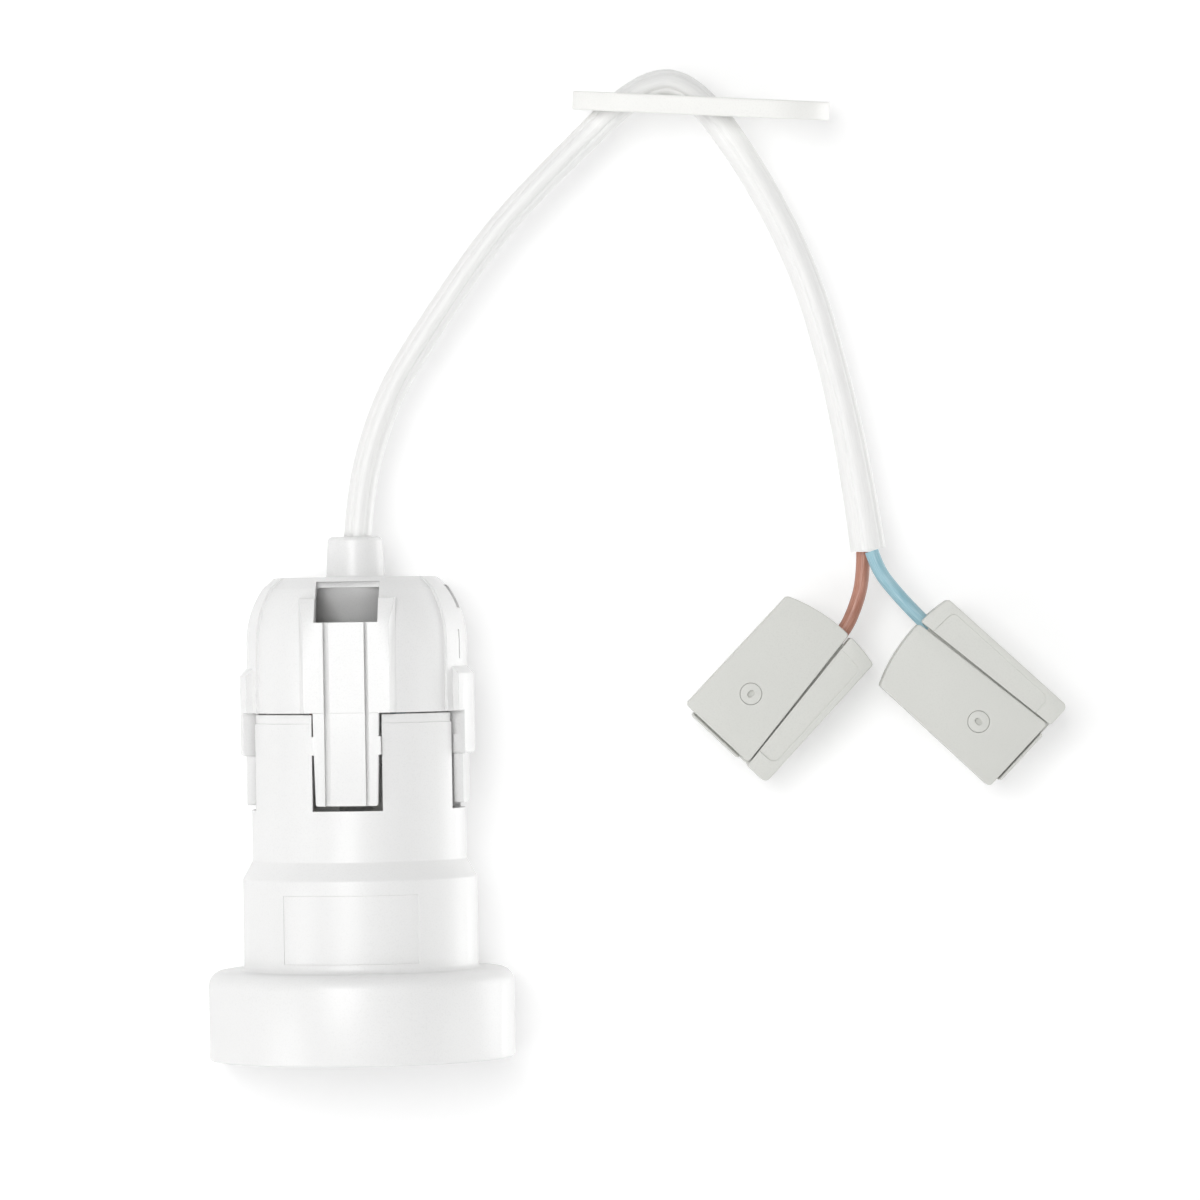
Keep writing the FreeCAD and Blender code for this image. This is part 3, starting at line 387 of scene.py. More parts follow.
def solid(name, points, face_sets):
    """A mesh object from points and a list of face arrays, turned outwards, smooth except at its
    sharp edges."""
    points = np.asarray(points, float).reshape(-1, 3)
    sets = [np.atleast_2d(faces) for faces in face_sets]
    if not outward(points, sets):
        sets = [faces[:, ::-1] for faces in sets]
    mesh = bpy.data.meshes.new(name)
    mesh.from_pydata(points.tolist(), [], [row for faces in sets for row in faces.tolist()])
    smoothed(mesh)
    made = bpy.data.objects.new(name, mesh)
    bpy.context.scene.collection.objects.link(made)
    return made


def smoothed(mesh):
    """Smooth shading, with the sharp edges marked."""
    mesh.polygons.foreach_set("use_smooth", [True] * len(mesh.polygons))
    mesh.set_sharp_from_angle(angle=math.radians(SMOOTH_ANGLE))
    mesh.update()


def rounded_outline(corners, steps=6):
    """The closed outline through corners (x, y, radius): each corner's arc touches both sides, its
    points at even angles between them."""
    corners = [(np.array(c[:2], float), c[2] if len(c) > 2 else 0.0) for c in corners]
    points = []
    for k, (corner, radius) in enumerate(corners):
        if radius <= 0:
            points.append(corner[None])
            continue
        back = corners[k - 1][0] - corner
        ahead = corners[(k + 1) % len(corners)][0] - corner
        back /= np.linalg.norm(back)
        ahead /= np.linalg.norm(ahead)
        half = math.acos(np.clip(back @ ahead, -1, 1)) / 2
        middle = (back + ahead) / np.linalg.norm(back + ahead)
        centre = corner + middle * radius / math.sin(half)
        sweep = np.linspace(-1, 1, steps + 1)[:, None] * (math.pi / 2 - half)
        side = ahead - (ahead @ middle) * middle
        side /= np.linalg.norm(side)
        points.append(centre - radius * (np.cos(sweep) * middle - np.sin(sweep) * side))
    return np.concatenate(points)


def arc_points(start, end, radius, steps=16):
    """Points after start and before end on the arc of that radius, to the right of the way from
    start to end, or to the left if radius is negative."""
    start, end = np.array(start, float), np.array(end, float)
    chord = end - start
    length = np.linalg.norm(chord)
    way = chord / length
    right = np.array([way[1], -way[0]]) * math.copysign(1, radius)
    rise = math.sqrt(radius**2 - length**2 / 4)
    centre = (start + end) / 2 - right * rise
    half = math.asin(length / 2 / abs(radius))
    sweep = np.linspace(-half, half, steps + 2)[1:-1, None]
    return centre + abs(radius) * (np.cos(sweep) * right + np.sin(sweep) * way)


def turned(name, outline, segments, angles=None):
    """The outline (r, z), closed, carried round Z: x = r sin a, y = -r cos a. With angles, only
    between those two, and closed at both ends."""
    outline = np.asarray(outline, float)
    if angles is None:
        sweep = np.linspace(0, 2 * math.pi, segments, endpoint=False)
    else:
        sweep = np.linspace(*angles, segments)
    r, z = outline[None, :, 0], outline[None, :, 1]
    a = sweep[:, None]
    points = np.stack([r * np.sin(a), -r * np.cos(a), z + 0 * a], -1)
    faces = [quads(len(sweep), len(outline), angles is None)]
    if angles is not None:
        ring = np.arange(len(outline))
        faces += [ring[None], (ring + (len(sweep) - 1) * len(outline))[None, ::-1]]
    return solid(name, points, faces)


def millimetres(*corners):
    """Corners given in millimetres, in metres."""
    return [tuple(value * MM for value in corner) for corner in corners]


def inset(outline, amount):
    """The closed outline with each corner moved so that both its sides lie deeper by the amount:
    along the sum of the two sides' inward normals, over one plus their dot product."""
    ahead = np.roll(outline, -1, 0) - outline
    twice_area = (outline[:, 0] * np.roll(outline[:, 1], -1)).sum()
    twice_area -= (outline[:, 1] * np.roll(outline[:, 0], -1)).sum()
    ahead /= np.linalg.norm(ahead, axis=1)[:, None]
    normal = np.column_stack([-ahead[:, 1], ahead[:, 0]]) * math.copysign(1, twice_area)
    before = np.roll(normal, 1, 0)
    spread = 1 + (normal * before).sum(1)
    return outline + amount * (normal + before) / spread[:, None]


def lofted(name, rings):
    """A solid through rings of the same number of points, flat at both ends."""
    rings = np.asarray(rings, float)
    rows, columns = rings.shape[:2]
    ring = np.arange(columns)
    sides = quads(rows, columns, False)
    return solid(name, rings, [sides, ring[None], ring[None, ::-1] + (rows - 1) * columns])


def prism(name, outline, low, high, rim=0.0):
    """The outline (x, z), closed, carried along Y from low to high. Its rims are quarter rounds: at
    the angle t the outline lies rim (1 - sin t) inside itself, and rim (1 - cos t) from the end."""
    outline = np.asarray(outline, float)
    count = len(outline)
    t = np.linspace(0, math.pi / 2, 5) if rim else np.array([math.pi / 2])
    deeper = rim * (1 - np.sin(t))
    along = rim * (1 - np.cos(t))
    levels = [*zip(low + along, deeper), *zip(high - along[::-1], deeper[::-1])]
    rings = []
    for y, amount in levels:
        ring = inset(outline, amount)
        rings.append(np.column_stack([ring[:, 0], np.full(count, y), ring[:, 1]]))
    return lofted(name, rings)


def disc(x, z, radius):
    """A round outline of 48 points."""
    a = np.linspace(0, 2 * math.pi, 48, endpoint=False)
    return np.column_stack([x + radius * np.cos(a), z + radius * np.sin(a)])


def obround(x, z, half_length, half_width, count=24):
    """The outline of a slot with round ends, lying along X."""
    a = np.linspace(-math.pi / 2, math.pi / 2, count)
    straight = half_length - half_width
    end = np.column_stack([half_width * np.cos(a) + straight, half_width * np.sin(a)])
    return np.concatenate([end, -end]) + (x, z)


def block(name, low, high):
    """A cuboid between two corners, for cutting."""
    (x0, y0, z0), (x1, y1, z1) = low, high
    return prism(name, [(x0, z0), (x1, z0), (x1, z1), (x0, z1)], y0, y1)


def changed(piece, operation, *tools):
    """The piece with the tools added or taken away, by exact booleans."""
    for tool in tools:
        modifier = piece.modifiers.new(operation.lower(), "BOOLEAN")
        modifier.operation = operation
        modifier.solver = "EXACT"
        modifier.object = tool
    bpy.context.view_layer.update()
    graph = bpy.context.evaluated_depsgraph_get()
    mesh = bpy.data.meshes.new_from_object(piece.evaluated_get(graph))
    piece.modifiers.clear()
    mesh.name = piece.name
    piece.data = mesh
    smoothed(mesh)
    for tool in set(tools):
        bpy.data.objects.remove(tool)
    return piece


def moved(piece, matrix):
    """The piece with its mesh moved by the matrix."""
    piece.data.transform(matrix)
    piece.data.update()
    return piece


def dressed(piece, body, slot, *nodes):
    """Gives a piece its finish, and says which body carries it and which solids it stands for."""
    piece.data.materials.clear()
    piece.data.materials.append(SLOT_FINISH[slot])
    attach(piece, body)
    if nodes:
        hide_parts(*nodes)
    return piece


def route_line(name, route, depth, spacing=0.4 * MM):
    """Evenly spaced points on the smooth curve of a route: those of its NURBS of order 3, read
    from Blender's own curve."""
    curve = bpy.data.curves.new(name, "CURVE")
    curve.dimensions = "3D"
    curve.resolution_u = 24
    spline = curve.splines.new("NURBS")
    spline.points.add(len(route) - 1)
    for point, (x, z) in zip(spline.points, route):
        point.co = (x * MM, depth, z * MM, 1)
    spline.order_u = 3
    spline.use_endpoint_u = True
    holder = bpy.data.objects.new(name, curve)
    bpy.context.scene.collection.objects.link(holder)
    bpy.context.view_layer.update()
    graph = bpy.context.evaluated_depsgraph_get()
    mesh = bpy.data.meshes.new_from_object(holder.evaluated_get(graph))
    line = np.empty(len(mesh.vertices) * 3)
    mesh.vertices.foreach_get("co", line)
    line = line.reshape(-1, 3)
    bpy.data.objects.remove(holder)
    bpy.data.meshes.remove(mesh)
    run = np.concatenate([[0], np.cumsum(np.linalg.norm(np.diff(line, axis=0), axis=1))])
    even = np.linspace(0, run[-1], max(8, int(run[-1] / spacing)))
    return np.column_stack([np.interp(even, run, line[:, k]) for k in range(3)])


def drawn(name, line, section):
    """A tube along a line in a plane Y = constant. section(share, angle) gives how far the surface
    is from the line in the plane and along Y, and the ends are closed by flat caps. Its UV map
    runs along it, once in STREAK_LENGTH, and once round it."""
    way = np.gradient(line, axis=0)
    way /= np.linalg.norm(way, axis=1)[:, None]
    side = np.column_stack([way[:, 2], 0 * way[:, 0], -way[:, 0]])
    share = np.linspace(0, 1, len(line))[:, None]
    angle = np.linspace(0, 2 * math.pi, 96, endpoint=False)[None]
    out, across = section(share, angle)
    depth = np.array([0, 1, 0])
    points = line[:, None] + out[..., None] * side[:, None] + across[..., None] * depth
    rows, columns = out.shape
    made = lofted(name, points)
    layer = made.data.uv_layers.new(name="length_and_turn")
    loops = np.empty(len(made.data.loops), int)
    made.data.loops.foreach_get("vertex_index", loops)
    run = np.linalg.norm(np.diff(line, axis=0), axis=1).sum()
    along = (loops // columns) / rows * run / STREAK_LENGTH
    round_it = (loops % columns) / columns
    layer.data.foreach_set("uv", np.column_stack([along, round_it]).ravel())
    return made


# The holder's shell

# How many flats make the round of the shell and the cap
ROUND_SEGMENTS = 256


def make_shell():
    """The turned outline of the moulding, less its four slots and the label's recess."""
    inside = BODY_RADIUS - BODY_WALL
    outline = rounded_outline(
        [
            (THREAD_RADIUS, SLEEVE_FOOT, 0.25 * MM),
            (THREAD_RADIUS + 1.6 * MM, SLEEVE_FOOT, 0.4 * MM),
            (THREAD_RADIUS + 1.6 * MM, 26.0 * MM),
            (SKIRT_RADIUS - BODY_WALL, 26.0 * MM),
            (SKIRT_RADIUS - BODY_WALL, COLLAR_HEIGHT - WALL),
            (COLLAR_RADIUS - WALL, COLLAR_HEIGHT - WALL, 0.8 * MM),
            (COLLAR_RADIUS - WALL, 0, 0.3 * MM),
            (COLLAR_RADIUS, 0, 0.45 * MM),
            (COLLAR_RADIUS, COLLAR_HEIGHT, 2.3 * MM),
            (SKIRT_RADIUS, COLLAR_HEIGHT, 0.8 * MM),
            (SKIRT_RADIUS, SKIRT_TOP, 0.5 * MM),
            (BODY_RADIUS, CONE_TOP, 0.5 * MM),
            (BODY_RADIUS, BODY_TOP - 1.4 * MM),
            (BODY_RADIUS - 0.15 * MM, BODY_TOP - 1.35 * MM),
            (BODY_RADIUS - 0.15 * MM, BODY_TOP, 0.15 * MM),
            (inside, BODY_TOP, 0.15 * MM),
            (inside, SEAT_HEIGHT),
            (THREAD_RADIUS + 0.45 * MM, SEAT_HEIGHT),
            (THREAD_RADIUS + 0.45 * MM, 21.0 * MM),
            (THREAD_RADIUS, 21.0 * MM, 0.2 * MM),
        ],
        steps=5,
    )
    shell = turned("holder_shell", outline, ROUND_SEGMENTS)
    far = 30 * MM
    turn = Matrix.Rotation(CLIP_TURN, 4, "Z")
    label = rounded_outline(
        [
            (SKIRT_RADIUS - LABEL_DEPTH, LABEL_FOOT),
            (SKIRT_RADIUS + 1 * MM, LABEL_FOOT),
            (SKIRT_RADIUS + 1 * MM, LABEL_TOP),
            (SKIRT_RADIUS - LABEL_DEPTH, LABEL_TOP),
        ]
    )
    changed(
        shell,
        "DIFFERENCE",
        moved(
            block(
                "front_slots",
                (-FRONT_SLOT_HALF, -far, SLOT_FOOT),
                (FRONT_SLOT_HALF, far, far * 2),
            ),
            turn,
        ),
        moved(
            block(
                "side_slots",
                (-far, -SIDE_SLOT_HALF, SLOT_FOOT),
                (far, SIDE_SLOT_HALF, far * 2),
            ),
            turn,
        ),
        turned("label_recess", label, 64, (-LABEL_HALF_ANGLE, LABEL_HALF_ANGLE)),
    )
    moved(shell, Matrix.Rotation(HOLDER_TURN, 4, "Z"))
    return dressed(shell, ROOT, "white_plastic", "lampholder_shell")


def make_thread():
    """The rounded E27 thread in the sleeve: a ridge whose height is a cosine across the pitch,
    carried along a helix, and fading in and out over one radian at its ends."""
    turns = (THREAD_TOP - THREAD_FOOT) / THREAD_PITCH
    a = np.linspace(0, turns * 2 * math.pi, int(turns * 96))[:, None]
    across = np.linspace(-0.5, 0.5, 13)[None]
    fade = np.clip(np.minimum(a, a[-1] - a), 0, 1)
    height = THREAD_DEPTH * fade * (0.5 + 0.5 * np.cos(2 * math.pi * across))
    z = THREAD_FOOT + a / (2 * math.pi) * THREAD_PITCH + across * THREAD_PITCH
    inner = THREAD_RADIUS - height
    outer = THREAD_RADIUS + THREAD_ROOT + 0 * a
    r = np.concatenate([inner, outer + 0 * across[:, ::-1]], axis=1)
    z = np.concatenate([z, z[:, ::-1]], axis=1)
    thread = lofted("thread_ridges", np.stack([r * np.sin(a), -r * np.cos(a), z], -1))
    return dressed(thread, ROOT, "white_plastic")


# The cap


def make_cap():
    """The turned dome with its neck, joined with the panels, the bosses, the latches and the
    tongues, then hollowed and opened."""
    bore, foot = 2.9, BODY_TOP / MM + 0.2
    dome = rounded_outline(
        [
            *millimetres((bore, foot), (16.45, foot, 0.12), (16.45, 64.0)),
            *arc_points((16.45 * MM, 64.0 * MM), (13.9 * MM, 72.3 * MM), 15 * MM, 20),
            *millimetres(
                (13.9, 72.3, 0.4),
                (12.0, 74.0, 0.5),
                (4.5, 74.0, 0.3),
                (4.15, 80.2, 0.7),
                (bore, 80.2, 0.25),
            ),
        ],
        steps=5,
    )
    cap = turned("holder_cap", dome, ROUND_SEGMENTS)
    side_panel = rounded_outline(
        [
            *millimetres((10.0, foot + 0.02), (16.95, foot + 0.02, 0.1), (16.95, 64.0)),
            *arc_points((16.95 * MM, 64.0 * MM), (14.4 * MM, 72.3 * MM), 15 * MM, 20),
            *millimetres((14.4, 72.3, 0.4), (12.5, 73.96, 0.5), (10.0, 73.96)),
        ],
        steps=4,
    )
    boss = rounded_outline(
        millimetres(
            (15.5, foot + 0.04),
            (18.0, foot + 0.04, 0.2),
            (18.0, 59.1, 0.3),
            (16.9, 60.2, 0.2),
            (15.5, 60.2),
        ),
        steps=3,
    )
    latch = rounded_outline(
        millimetres((15.5, 46.8, 0.2), (18.0, 46.8, 0.3), (18.0, 54.0), (15.5, 54.0)), steps=3
    )
    added = []
    for side in (math.pi / 2, -math.pi / 2):
        for name, section, half in (
            ("side_panel", side_panel, 30),
            ("boss", boss, 25),
            ("latch", latch, 19),
        ):
            reach = math.radians(half)
            added.append(turned(name, section, 41, (side - reach, side + reach)))
    low = foot + 0.03
    for way in (1, -1):
        rings = [
            [(x, -y * way, z) for x, z in ((-half, low), (half, low), (half, top), (-half, top))]
            for half, y, top in ((6.6, 16.9, 67.1), (7.35, 14.7, 70.8), (7.35, 11.0, 70.8))
        ]
        added.append(lofted("front_panel", np.array(rings) * MM))
    tongue = rounded_outline(
        millimetres(
            (-4.72, 39.2, 0.4),
            (4.72, 39.2, 0.4),
            (4.92, 46.9),
            (5.3, 47.0, 0.1),
            (5.3, 49.7, 0.1),
            (4.98, 49.8),
            (5.05, 54.0),
            (-5.05, 54.0),
            (-4.98, 49.8),
            (-5.3, 49.7, 0.1),
            (-5.3, 47.0, 0.1),
            (-4.92, 46.9),
        ),
        steps=4,
    )
    for quarter in range(4):
        blade = prism("tongue", tongue, -16.7 * MM, -15.2 * MM, 0.08 * MM)
        turn = math.pi / 2 * quarter + CLIP_TURN
        added.append(moved(blade, Matrix.Rotation(turn, 4, "Z")))
    changed(cap, "UNION", *added)
    cavity = np.array(
        [
            *millimetres((2.0, 52.9), (14.85, 52.9), (14.85, 64.0)),
            *arc_points((14.85 * MM, 64.0 * MM), (12.5 * MM, 71.7 * MM), 13.4 * MM, 14),
            *millimetres(
                (12.5, 71.7),
                (11.2, 72.4),
                (HUB_FLARE, 72.4),
                (6.0, 66.0),
                (5.7, 66.0),
                (4.7, 72.3),
                (2.0, 72.3),
            ),
        ]
    )
    cuts = [turned("cavity", cavity, ROUND_SEGMENTS)]
    for way in (1, -1):
        for low, high in (
            ((-4.85, -18, 67.1), (4.85, -10.3, 73.3)),
            ((-3.48, -18, 38), (-2.64, -15.45, 68.1)),
            ((2.76, -18, 38), (3.3, -15.7, 68.1)),
        ):
            near, deep = sorted((low[1] * way, high[1] * way))
            corners = millimetres((low[0], near, low[2]), (high[0], deep, high[2]))
            cuts.append(block("front_cut", *corners))
        for low, high in (
            ((11.35, -2.6, 69.1), (18, 2.6, 72.6)),
            ((15.8, -4.95, 61.3), (18, -4.45, 65.8)),
            ((15.8, 4.45, 61.3), (18, 4.95, 65.8)),
        ):
            near, deep = sorted((low[0] * way, high[0] * way))
            corners = millimetres((near, low[1], low[2]), (deep, high[1], high[2]))
            cuts.append(block("side_cut", *corners))
    changed(cap, "DIFFERENCE", *cuts)
    moved(cap, Matrix.Rotation(HOLDER_TURN, 4, "Z"))
    return dressed(cap, ROOT, "white_plastic", "cap")


# The hanger plate


def make_plate():
    """A stadium with rounded rims, less the two slots for the flex and the hole for the hook."""
    half, past = PLATE_THICKNESS / 2, PLATE_THICKNESS
    body = obround(0, 0, PLATE_LENGTH / 2, PLATE_WIDTH / 2, 48)
    plate = prism("hanger_plate_body", body, -half, half, 0.3 * MM)
    changed(
        plate,
        "DIFFERENCE",
        prism("left_slot", obround(-12.8 * MM, 0, 5.0 * MM, 3.1 * MM), -past, past),
        prism("right_slot", obround(1.2 * MM, 0, 4.5 * MM, 3.1 * MM), -past, past),
        prism("hook_hole", disc(12.9 * MM, 0, 3.75 * MM), -past, past),
    )
    lie = Matrix.Rotation(math.radians(-90), 4, "X")
    slope = Matrix.Rotation(PLATE_SLOPE, 4, "Y") @ Matrix.Rotation(PLATE_TIP, 4, "X")
    moved(plate, Matrix.Translation(PLATE_CENTRE) @ slope @ lie)
    return dressed(plate, ROOT, "cream_plastic", "hanger_plate")


# The lighting connectors

CONNECTOR_WIDTH = 8.2 * MM
PIVOT_X, PIVOT_Z = 16.1 * MM, -10.7 * MM


def along(piece):
    """Turns what was carried along Y so that it runs along X."""
    return moved(piece, Matrix.Rotation(math.radians(-90), 4, "Z"))


def make_connector(colour, place, angle):
    """The housing, whose strip and end plate show beside the hood, and the hood that turns on the
    housing's pivot. Both are drawn with X along the connector, from the end where the core goes
    in."""
    half, far = CONNECTOR_WIDTH / 2, 6 * MM
    strip = rounded_outline(
        [
            *millimetres((0, 0, 0.5), (24.6, 0.3, 0.9), (24.6, -3.6, 0.4), (-0.78, -5.4, 0.35)),
            *arc_points((-0.78 * MM, -5.4 * MM), (0, 0), -26 * MM, 5),
        ],
        steps=5,
    )
    housing = prism(f"{colour}_housing", strip, -half, half, 0.18 * MM)
    core = millimetres((0.5, -2.6), (24.4, -2.6), (24.4, -15.1), (1.9, -15.1))
    end = rounded_outline(
        millimetres((24.35, -5.5), (24.8, -5.5, 0.3), (24.8, -15.1, 0.3), (24.35, -15.1)), steps=3
    )
    pivot_ends = (-half + 0.03 * MM, half - 0.03 * MM)
    changed(
        housing,
        "UNION",
        prism("core", core, -2.75 * MM, 2.75 * MM),
        prism("end_plate", end, -3.8 * MM, 3.8 * MM, 0.15 * MM),
        prism("pivot", disc(PIVOT_X, PIVOT_Z, 1.66 * MM), *pivot_ends, 0.06 * MM),
    )
    panel = rounded_outline(
        millimetres((1.9, -0.95, 1.0), (21.6, -0.75, 1.2), (21.6, -8.0), (1.4, -8.0)), steps=5
    )
    test_hole = obround(PIVOT_X, PIVOT_Z, 0.6 * MM, 0.42 * MM, 12)
    core_entry = rounded_outline(
        millimetres(
            (-1.45, -9.75, 1.44), (1.45, -9.75, 1.44), (1.45, -2.3, 1.44), (-1.45, -2.3, 1.44)
        )
    )
    changed(
        housing,
        "DIFFERENCE",
        block("chamber", *millimetres((4.5, -2.0, -17), (19.5, 2.0, -5.9))),
        prism("label_recess", panel, -far, -half + 0.13 * MM),
        prism("test_hole", test_hole, -far, 0.45 * MM - half),
        along(prism("core_entry", core_entry, -2 * MM, 5 * MM)),
        along(prism("push_in", disc(0, -7.8 * MM, 1.2 * MM), 18.5 * MM, 26 * MM)),
        along(prism("push_in", disc(0, -11.9 * MM, 1.2 * MM), 18.5 * MM, 26 * MM)),
    )
    hood_outline = rounded_outline(
        [
            *millimetres(
                (-0.78, -5.86, 0.5), (24.1, -3.82, 0.5), (24.1, -16.9, 0.6), (1.3, -16.9, 0.6)
            ),
            *arc_points((1.3 * MM, -16.9 * MM), (-0.78 * MM, -5.86 * MM), -26 * MM, 8),
        ],
        steps=5,
    )
    hood = prism(f"{colour}_hood", hood_outline, -half, half, 0.15 * MM)
    changed(
        hood,
        "DIFFERENCE",
        block("hood_inside", *millimetres((-3, -2.9, -15.7), (26, 2.9, 1))),
        prism("pivot_hole", disc(PIVOT_X, PIVOT_Z, 1.7 * MM), -far, far),
    )
    matrix = Matrix.Translation(Vector(place) * MM) @ Matrix.Rotation(math.radians(angle), 4, "Y")
    for piece, body, node in (
        (housing, ROOT, f"{colour}_connector_housing"),
        (hood, f"{colour}_hood", f"{colour}_connector_hood"),
    ):
        moved(piece, matrix)
        dressed(piece, body, "grey_plastic", node)
    return [housing, hood]


# The flex and its cores


def flex_section(share, angle):
    """The jacket's oval. Its half width in the picture follows FLEX_HALF_WIDTHS along the flex, and
    the product of its two half widths stays the same. Two lengthwise grooves in front and two
    behind are bell curves of the angle, and they turn a little round the flex at its top."""
    half = np.interp(share, *FLEX_HALF_WIDTHS) * MM
    depth = FLEX_NARROW / 2 * FLEX_WIDE / 2 / half
    reach = 1.0
    for angles in GROOVE_ANGLES:
        place = np.radians(np.interp(share, GROOVE_SHARES, angles))
        off = (angle - place + math.pi / 2) % math.pi - math.pi / 2
        reach = reach - GROOVE_DEPTH * np.exp(-((off / GROOVE_REACH) ** 2))
    return half * reach * np.cos(angle), depth * reach * np.sin(angle)


def make_flex():
    """The jacket, and the two cores that leave its end for the connectors."""
    line = route_line("flex_line", FLEX_ROUTE, 0)
    flex = dressed(drawn("flex_jacket", line, flex_section), ROOT, "white_pvc", "flex")
    cores = []
    for name, route, depth, slot in (
        ("core_brown", BROWN_ROUTE, CORE_DEPTH, "brown_pvc"),
        ("core_blue", BLUE_ROUTE, -CORE_DEPTH, "blue_pvc"),
    ):
        core = drawn(
            f"{name}_sleeve",
            route_line(name, route, depth, 0.2 * MM),
            lambda share, angle: (
                CORE_RADIUS * np.cos(angle) + 0 * share,
                CORE_RADIUS * np.sin(angle) + 0 * share,
            ),
        )
        cores.append(dressed(core, ROOT, slot, name))
    return flex, line, cores


# Stage, light and camera

# The stage: how pale it is, how much the camera and reflections see it glow, and its places
STAGE_SHADE, STAGE_LIFT = 0.78, 0.297
STAGE_HALF = 1.5
BOARD_FRONT, WALL_FRONT = 9.6 * MM, 30 * MM
BOARD_LEFT, BOARD_RIGHT = -64 * MM, 139 * MM
BOARD_FOOT, BOARD_TOP = -32 * MM, 172 * MM
FLOOR_HEIGHT = -450 * MM

# The lamps, and the brightness of the sky: as the object gets it, and as the camera sees it
LAMP_DISTANCE, LAMP_SIZE = 1.41, 0.78
SKY_LEVEL, SEEN_SKY_LEVEL = 0.5, 1.0


def open_board():
    """The front of a board just behind the flex, a little larger than the picture, with an opening
    in it for the back of the holder, whose rim lies inside the holder's own outline."""
    front = BOARD_FRONT
    board = block("backdrop", (BOARD_LEFT, front, BOARD_FOOT), (BOARD_RIGHT, 60 * MM, BOARD_TOP))
    right = [
        (21.8, -0.3),
        (21.8, 12.6),
        (15.9, 12.8),
        (15.9, 31),
        (14.0, 31.2),
        (14.0, 64.0),
        (12.2, 69.5),
        (8.0, 73.9),
    ]
    outline = np.array([*right, *((-x, z) for x, z in right[::-1])]) * MM
    changed(board, "DIFFERENCE", prism("opening", outline, front - 5 * MM, COLLAR_RADIUS + 1 * MM))
    faces = board.data.polygons
    kept = [tuple(face.vertices) for face in faces if abs(face.center.y - front) < 1e-6]
    mesh = bpy.data.meshes.new("backdrop")
    mesh.from_pydata([vertex.co for vertex in board.data.vertices], [], kept)
    board.data = mesh
    return board


def make_stage():
    """A pale floor under the hanging object, a pale wall behind it, and before the wall a pale
    board that takes its soft shadow. All are clear from behind, and let the lamps through to the
    object, as a translucent board does."""
    finish = Finish("stage_white")
    path = finish.add("ShaderNodeLightPath")
    camera_ray = Value(finish, path.outputs["Is Camera Ray"])
    seen = camera_ray + Value(finish, path.outputs["Is Glossy Ray"])
    behind = finish.value("ShaderNodeNewGeometry", "Backfacing")
    lit = finish.value(
        "ShaderNodeBsdfDiffuse",
        0,
        {},
        {"Color": (STAGE_SHADE, STAGE_SHADE, STAGE_SHADE, 1), "Roughness": 0.0},
    )
    glow = finish.value(
        "ShaderNodeEmission", 0, {}, {"Color": (1, 1, 1, 1), "Strength": seen * STAGE_LIFT}
    )
    pale = finish.value("ShaderNodeAddShader", 0, {}, {0: lit, 1: glow})
    clear = finish.value("ShaderNodeBsdfTransparent", 0)
    passed = behind + Value(finish, path.outputs["Is Shadow Ray"])
    finish.out(finish.value("ShaderNodeMixShader", 0, {}, {0: passed, 1: pale, 2: clear}))
    half, deep, low = STAGE_HALF, WALL_FRONT, FLOOR_HEIGHT
    left_foot, right_foot = (-half, deep, low), (half, deep, low)
    sheets = []
    for name, corners in (
        ("floor", [(-half, -half, low), (half, -half, low), right_foot, left_foot]),
        ("wall", [left_foot, right_foot, (half, deep, half), (-half, deep, half)]),
    ):
        mesh = bpy.data.meshes.new(name)
        mesh.from_pydata(corners, [], [(0, 1, 2, 3)])
        sheet = bpy.data.objects.new(name, mesh)
        bpy.context.scene.collection.objects.link(sheet)
        sheets.append(sheet)
    for made in (*sheets, open_board()):
        made.data.materials.clear()
        made.data.materials.append(finish.material)


def lamp(name, way, level):
    """A round lamp aimed at the middle of the picture, which gives the brightness level, where 1
    shows a white surface as white, to a surface there that faces it: its power is that times pi
    squared times the distance squared."""
    place = VIEW_CENTRE + Vector(way).normalized() * LAMP_DISTANCE
    light = bpy.data.lights.new(name, "AREA")
    light.shape = "DISK"
    light.size = LAMP_SIZE
    light.energy = level * math.pi**2 * LAMP_DISTANCE**2
    made = bpy.data.objects.new(name, light)
    made.location = place
    made.rotation_euler = (VIEW_CENTRE - place).to_track_quat("-Z", "Y").to_euler()
    bpy.context.scene.collection.objects.link(made)


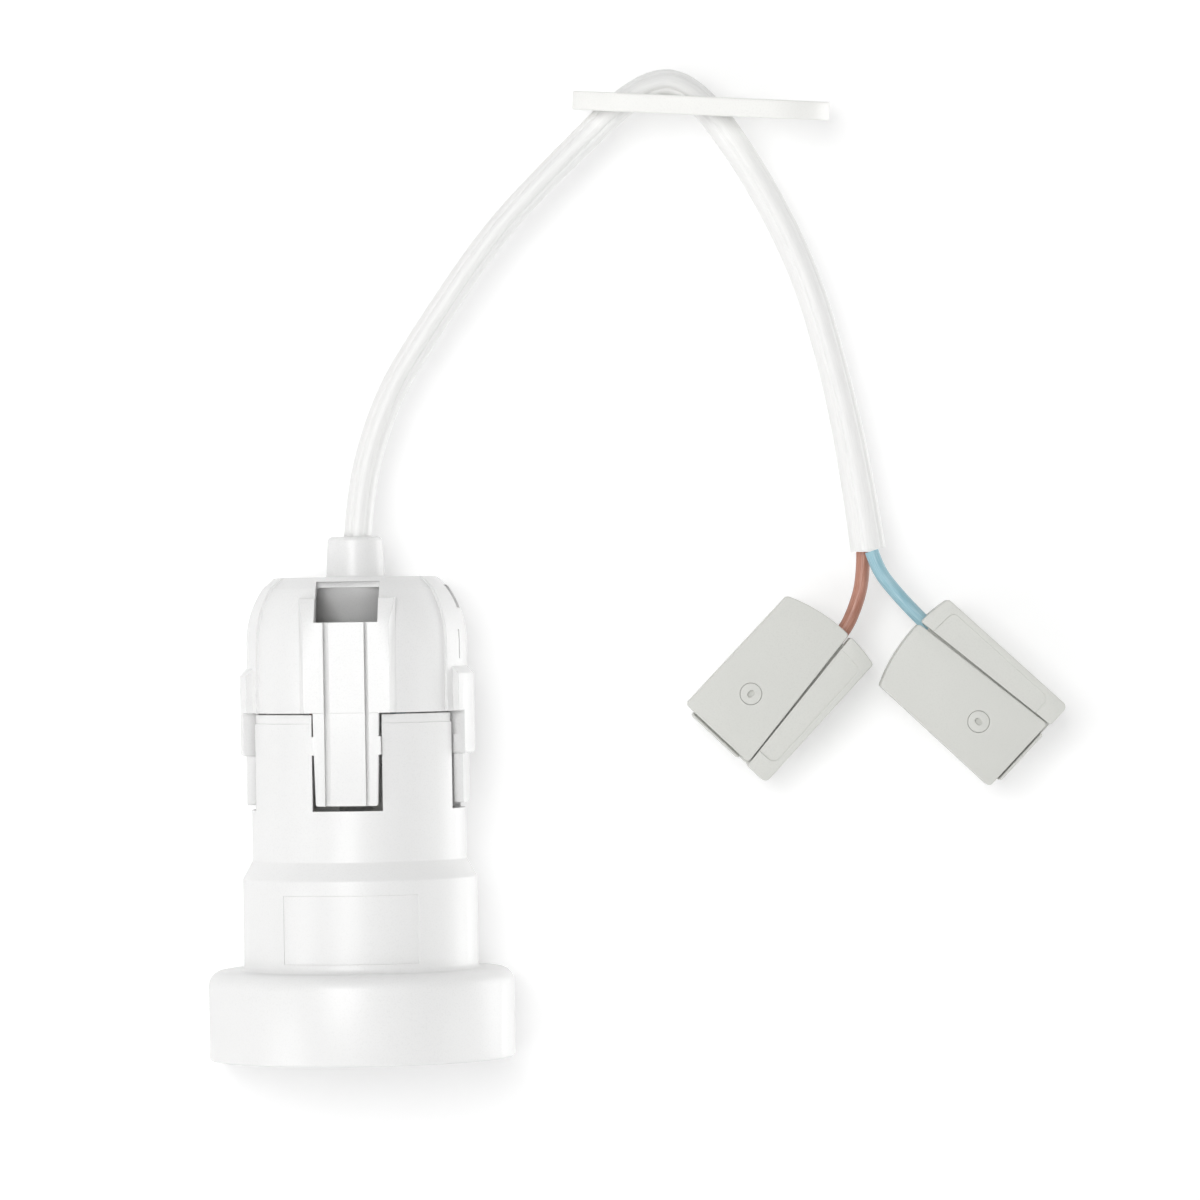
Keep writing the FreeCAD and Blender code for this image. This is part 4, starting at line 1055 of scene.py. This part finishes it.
def make_light():
    """A broad soft lamp at the upper left of the camera, a weaker one at each side, one from the
    right and behind, and a plain pale world."""
    lamp("key_softbox", (-0.225, -0.97, 0.17), 0.395)
    lamp("left_softbox", (-0.80, -0.50, -0.30), 0.2)
    lamp("right_softbox", (0.93, -0.20, -0.27), 0.12)
    lamp("right_rim_softbox", (0.80, 0.50, 0), 0.35)
    world = bpy.data.worlds.new("pale_room")
    world.use_nodes = True
    tree = world.node_tree
    tree.nodes.clear()
    path = tree.nodes.new("ShaderNodeLightPath")
    dim = tree.nodes.new("ShaderNodeBackground")
    dim.inputs["Strength"].default_value = SKY_LEVEL
    white = tree.nodes.new("ShaderNodeBackground")
    white.inputs["Strength"].default_value = SEEN_SKY_LEVEL
    for background in (dim, white):
        background.inputs["Color"].default_value = (1, 1, 1, 1)
    mix = tree.nodes.new("ShaderNodeMixShader")
    out = tree.nodes.new("ShaderNodeOutputWorld")
    tree.links.new(path.outputs["Is Camera Ray"], mix.inputs[0])
    tree.links.new(dim.outputs[0], mix.inputs[1])
    tree.links.new(white.outputs[0], mix.inputs[2])
    tree.links.new(mix.outputs[0], out.inputs[0])
    bpy.context.scene.world = world


def make_camera():
    """Level, looking along +Y, with a slight roll, from far away through a long lens."""
    data = bpy.data.cameras.new("camera")
    data.sensor_width = SENSOR_WIDTH
    data.lens = SENSOR_WIDTH * VIEW_DISTANCE / (PIXEL_SIZE * PICTURE_PIXELS)
    data.clip_start, data.clip_end = 0.01, 20
    camera = bpy.data.objects.new("camera", data)
    cos, sin = math.cos(CAMERA_ROLL), math.sin(CAMERA_ROLL)
    right, up, back = Vector((cos, 0, -sin)), Vector((sin, 0, cos)), Vector((0, -1, 0))
    turn = Matrix((right, up, back)).transposed().to_4x4()
    camera.matrix_world = Matrix.Translation(VIEW_CENTRE + back * VIEW_DISTANCE) @ turn
    bpy.context.scene.collection.objects.link(camera)
    bpy.context.scene.camera = camera


def dress_remaining():
    """Every solid that stays gets the finish of its material slot."""
    for row in frame["record"]["subparts"]:
        node = frame["nodes"][row["node"]]
        node.data.materials.clear()
        node.data.materials.append(SLOT_FINISH[row["material_slot"]])
        smoothed(node.data)


# The object and its stage

dress_remaining()
make_camera()
make_light()
make_stage()
make_shell()
make_thread()
make_cap()
plate = make_plate()
connectors = [
    *make_connector("brown", (79.43, 0.95, 59.34), 133.84),
    *make_connector("blue", (91.06, -0.95, 69.22), 43.56),
]
flex, flex_line, cores = make_flex()

bpy.context.scene.view_settings.view_transform = "Standard"
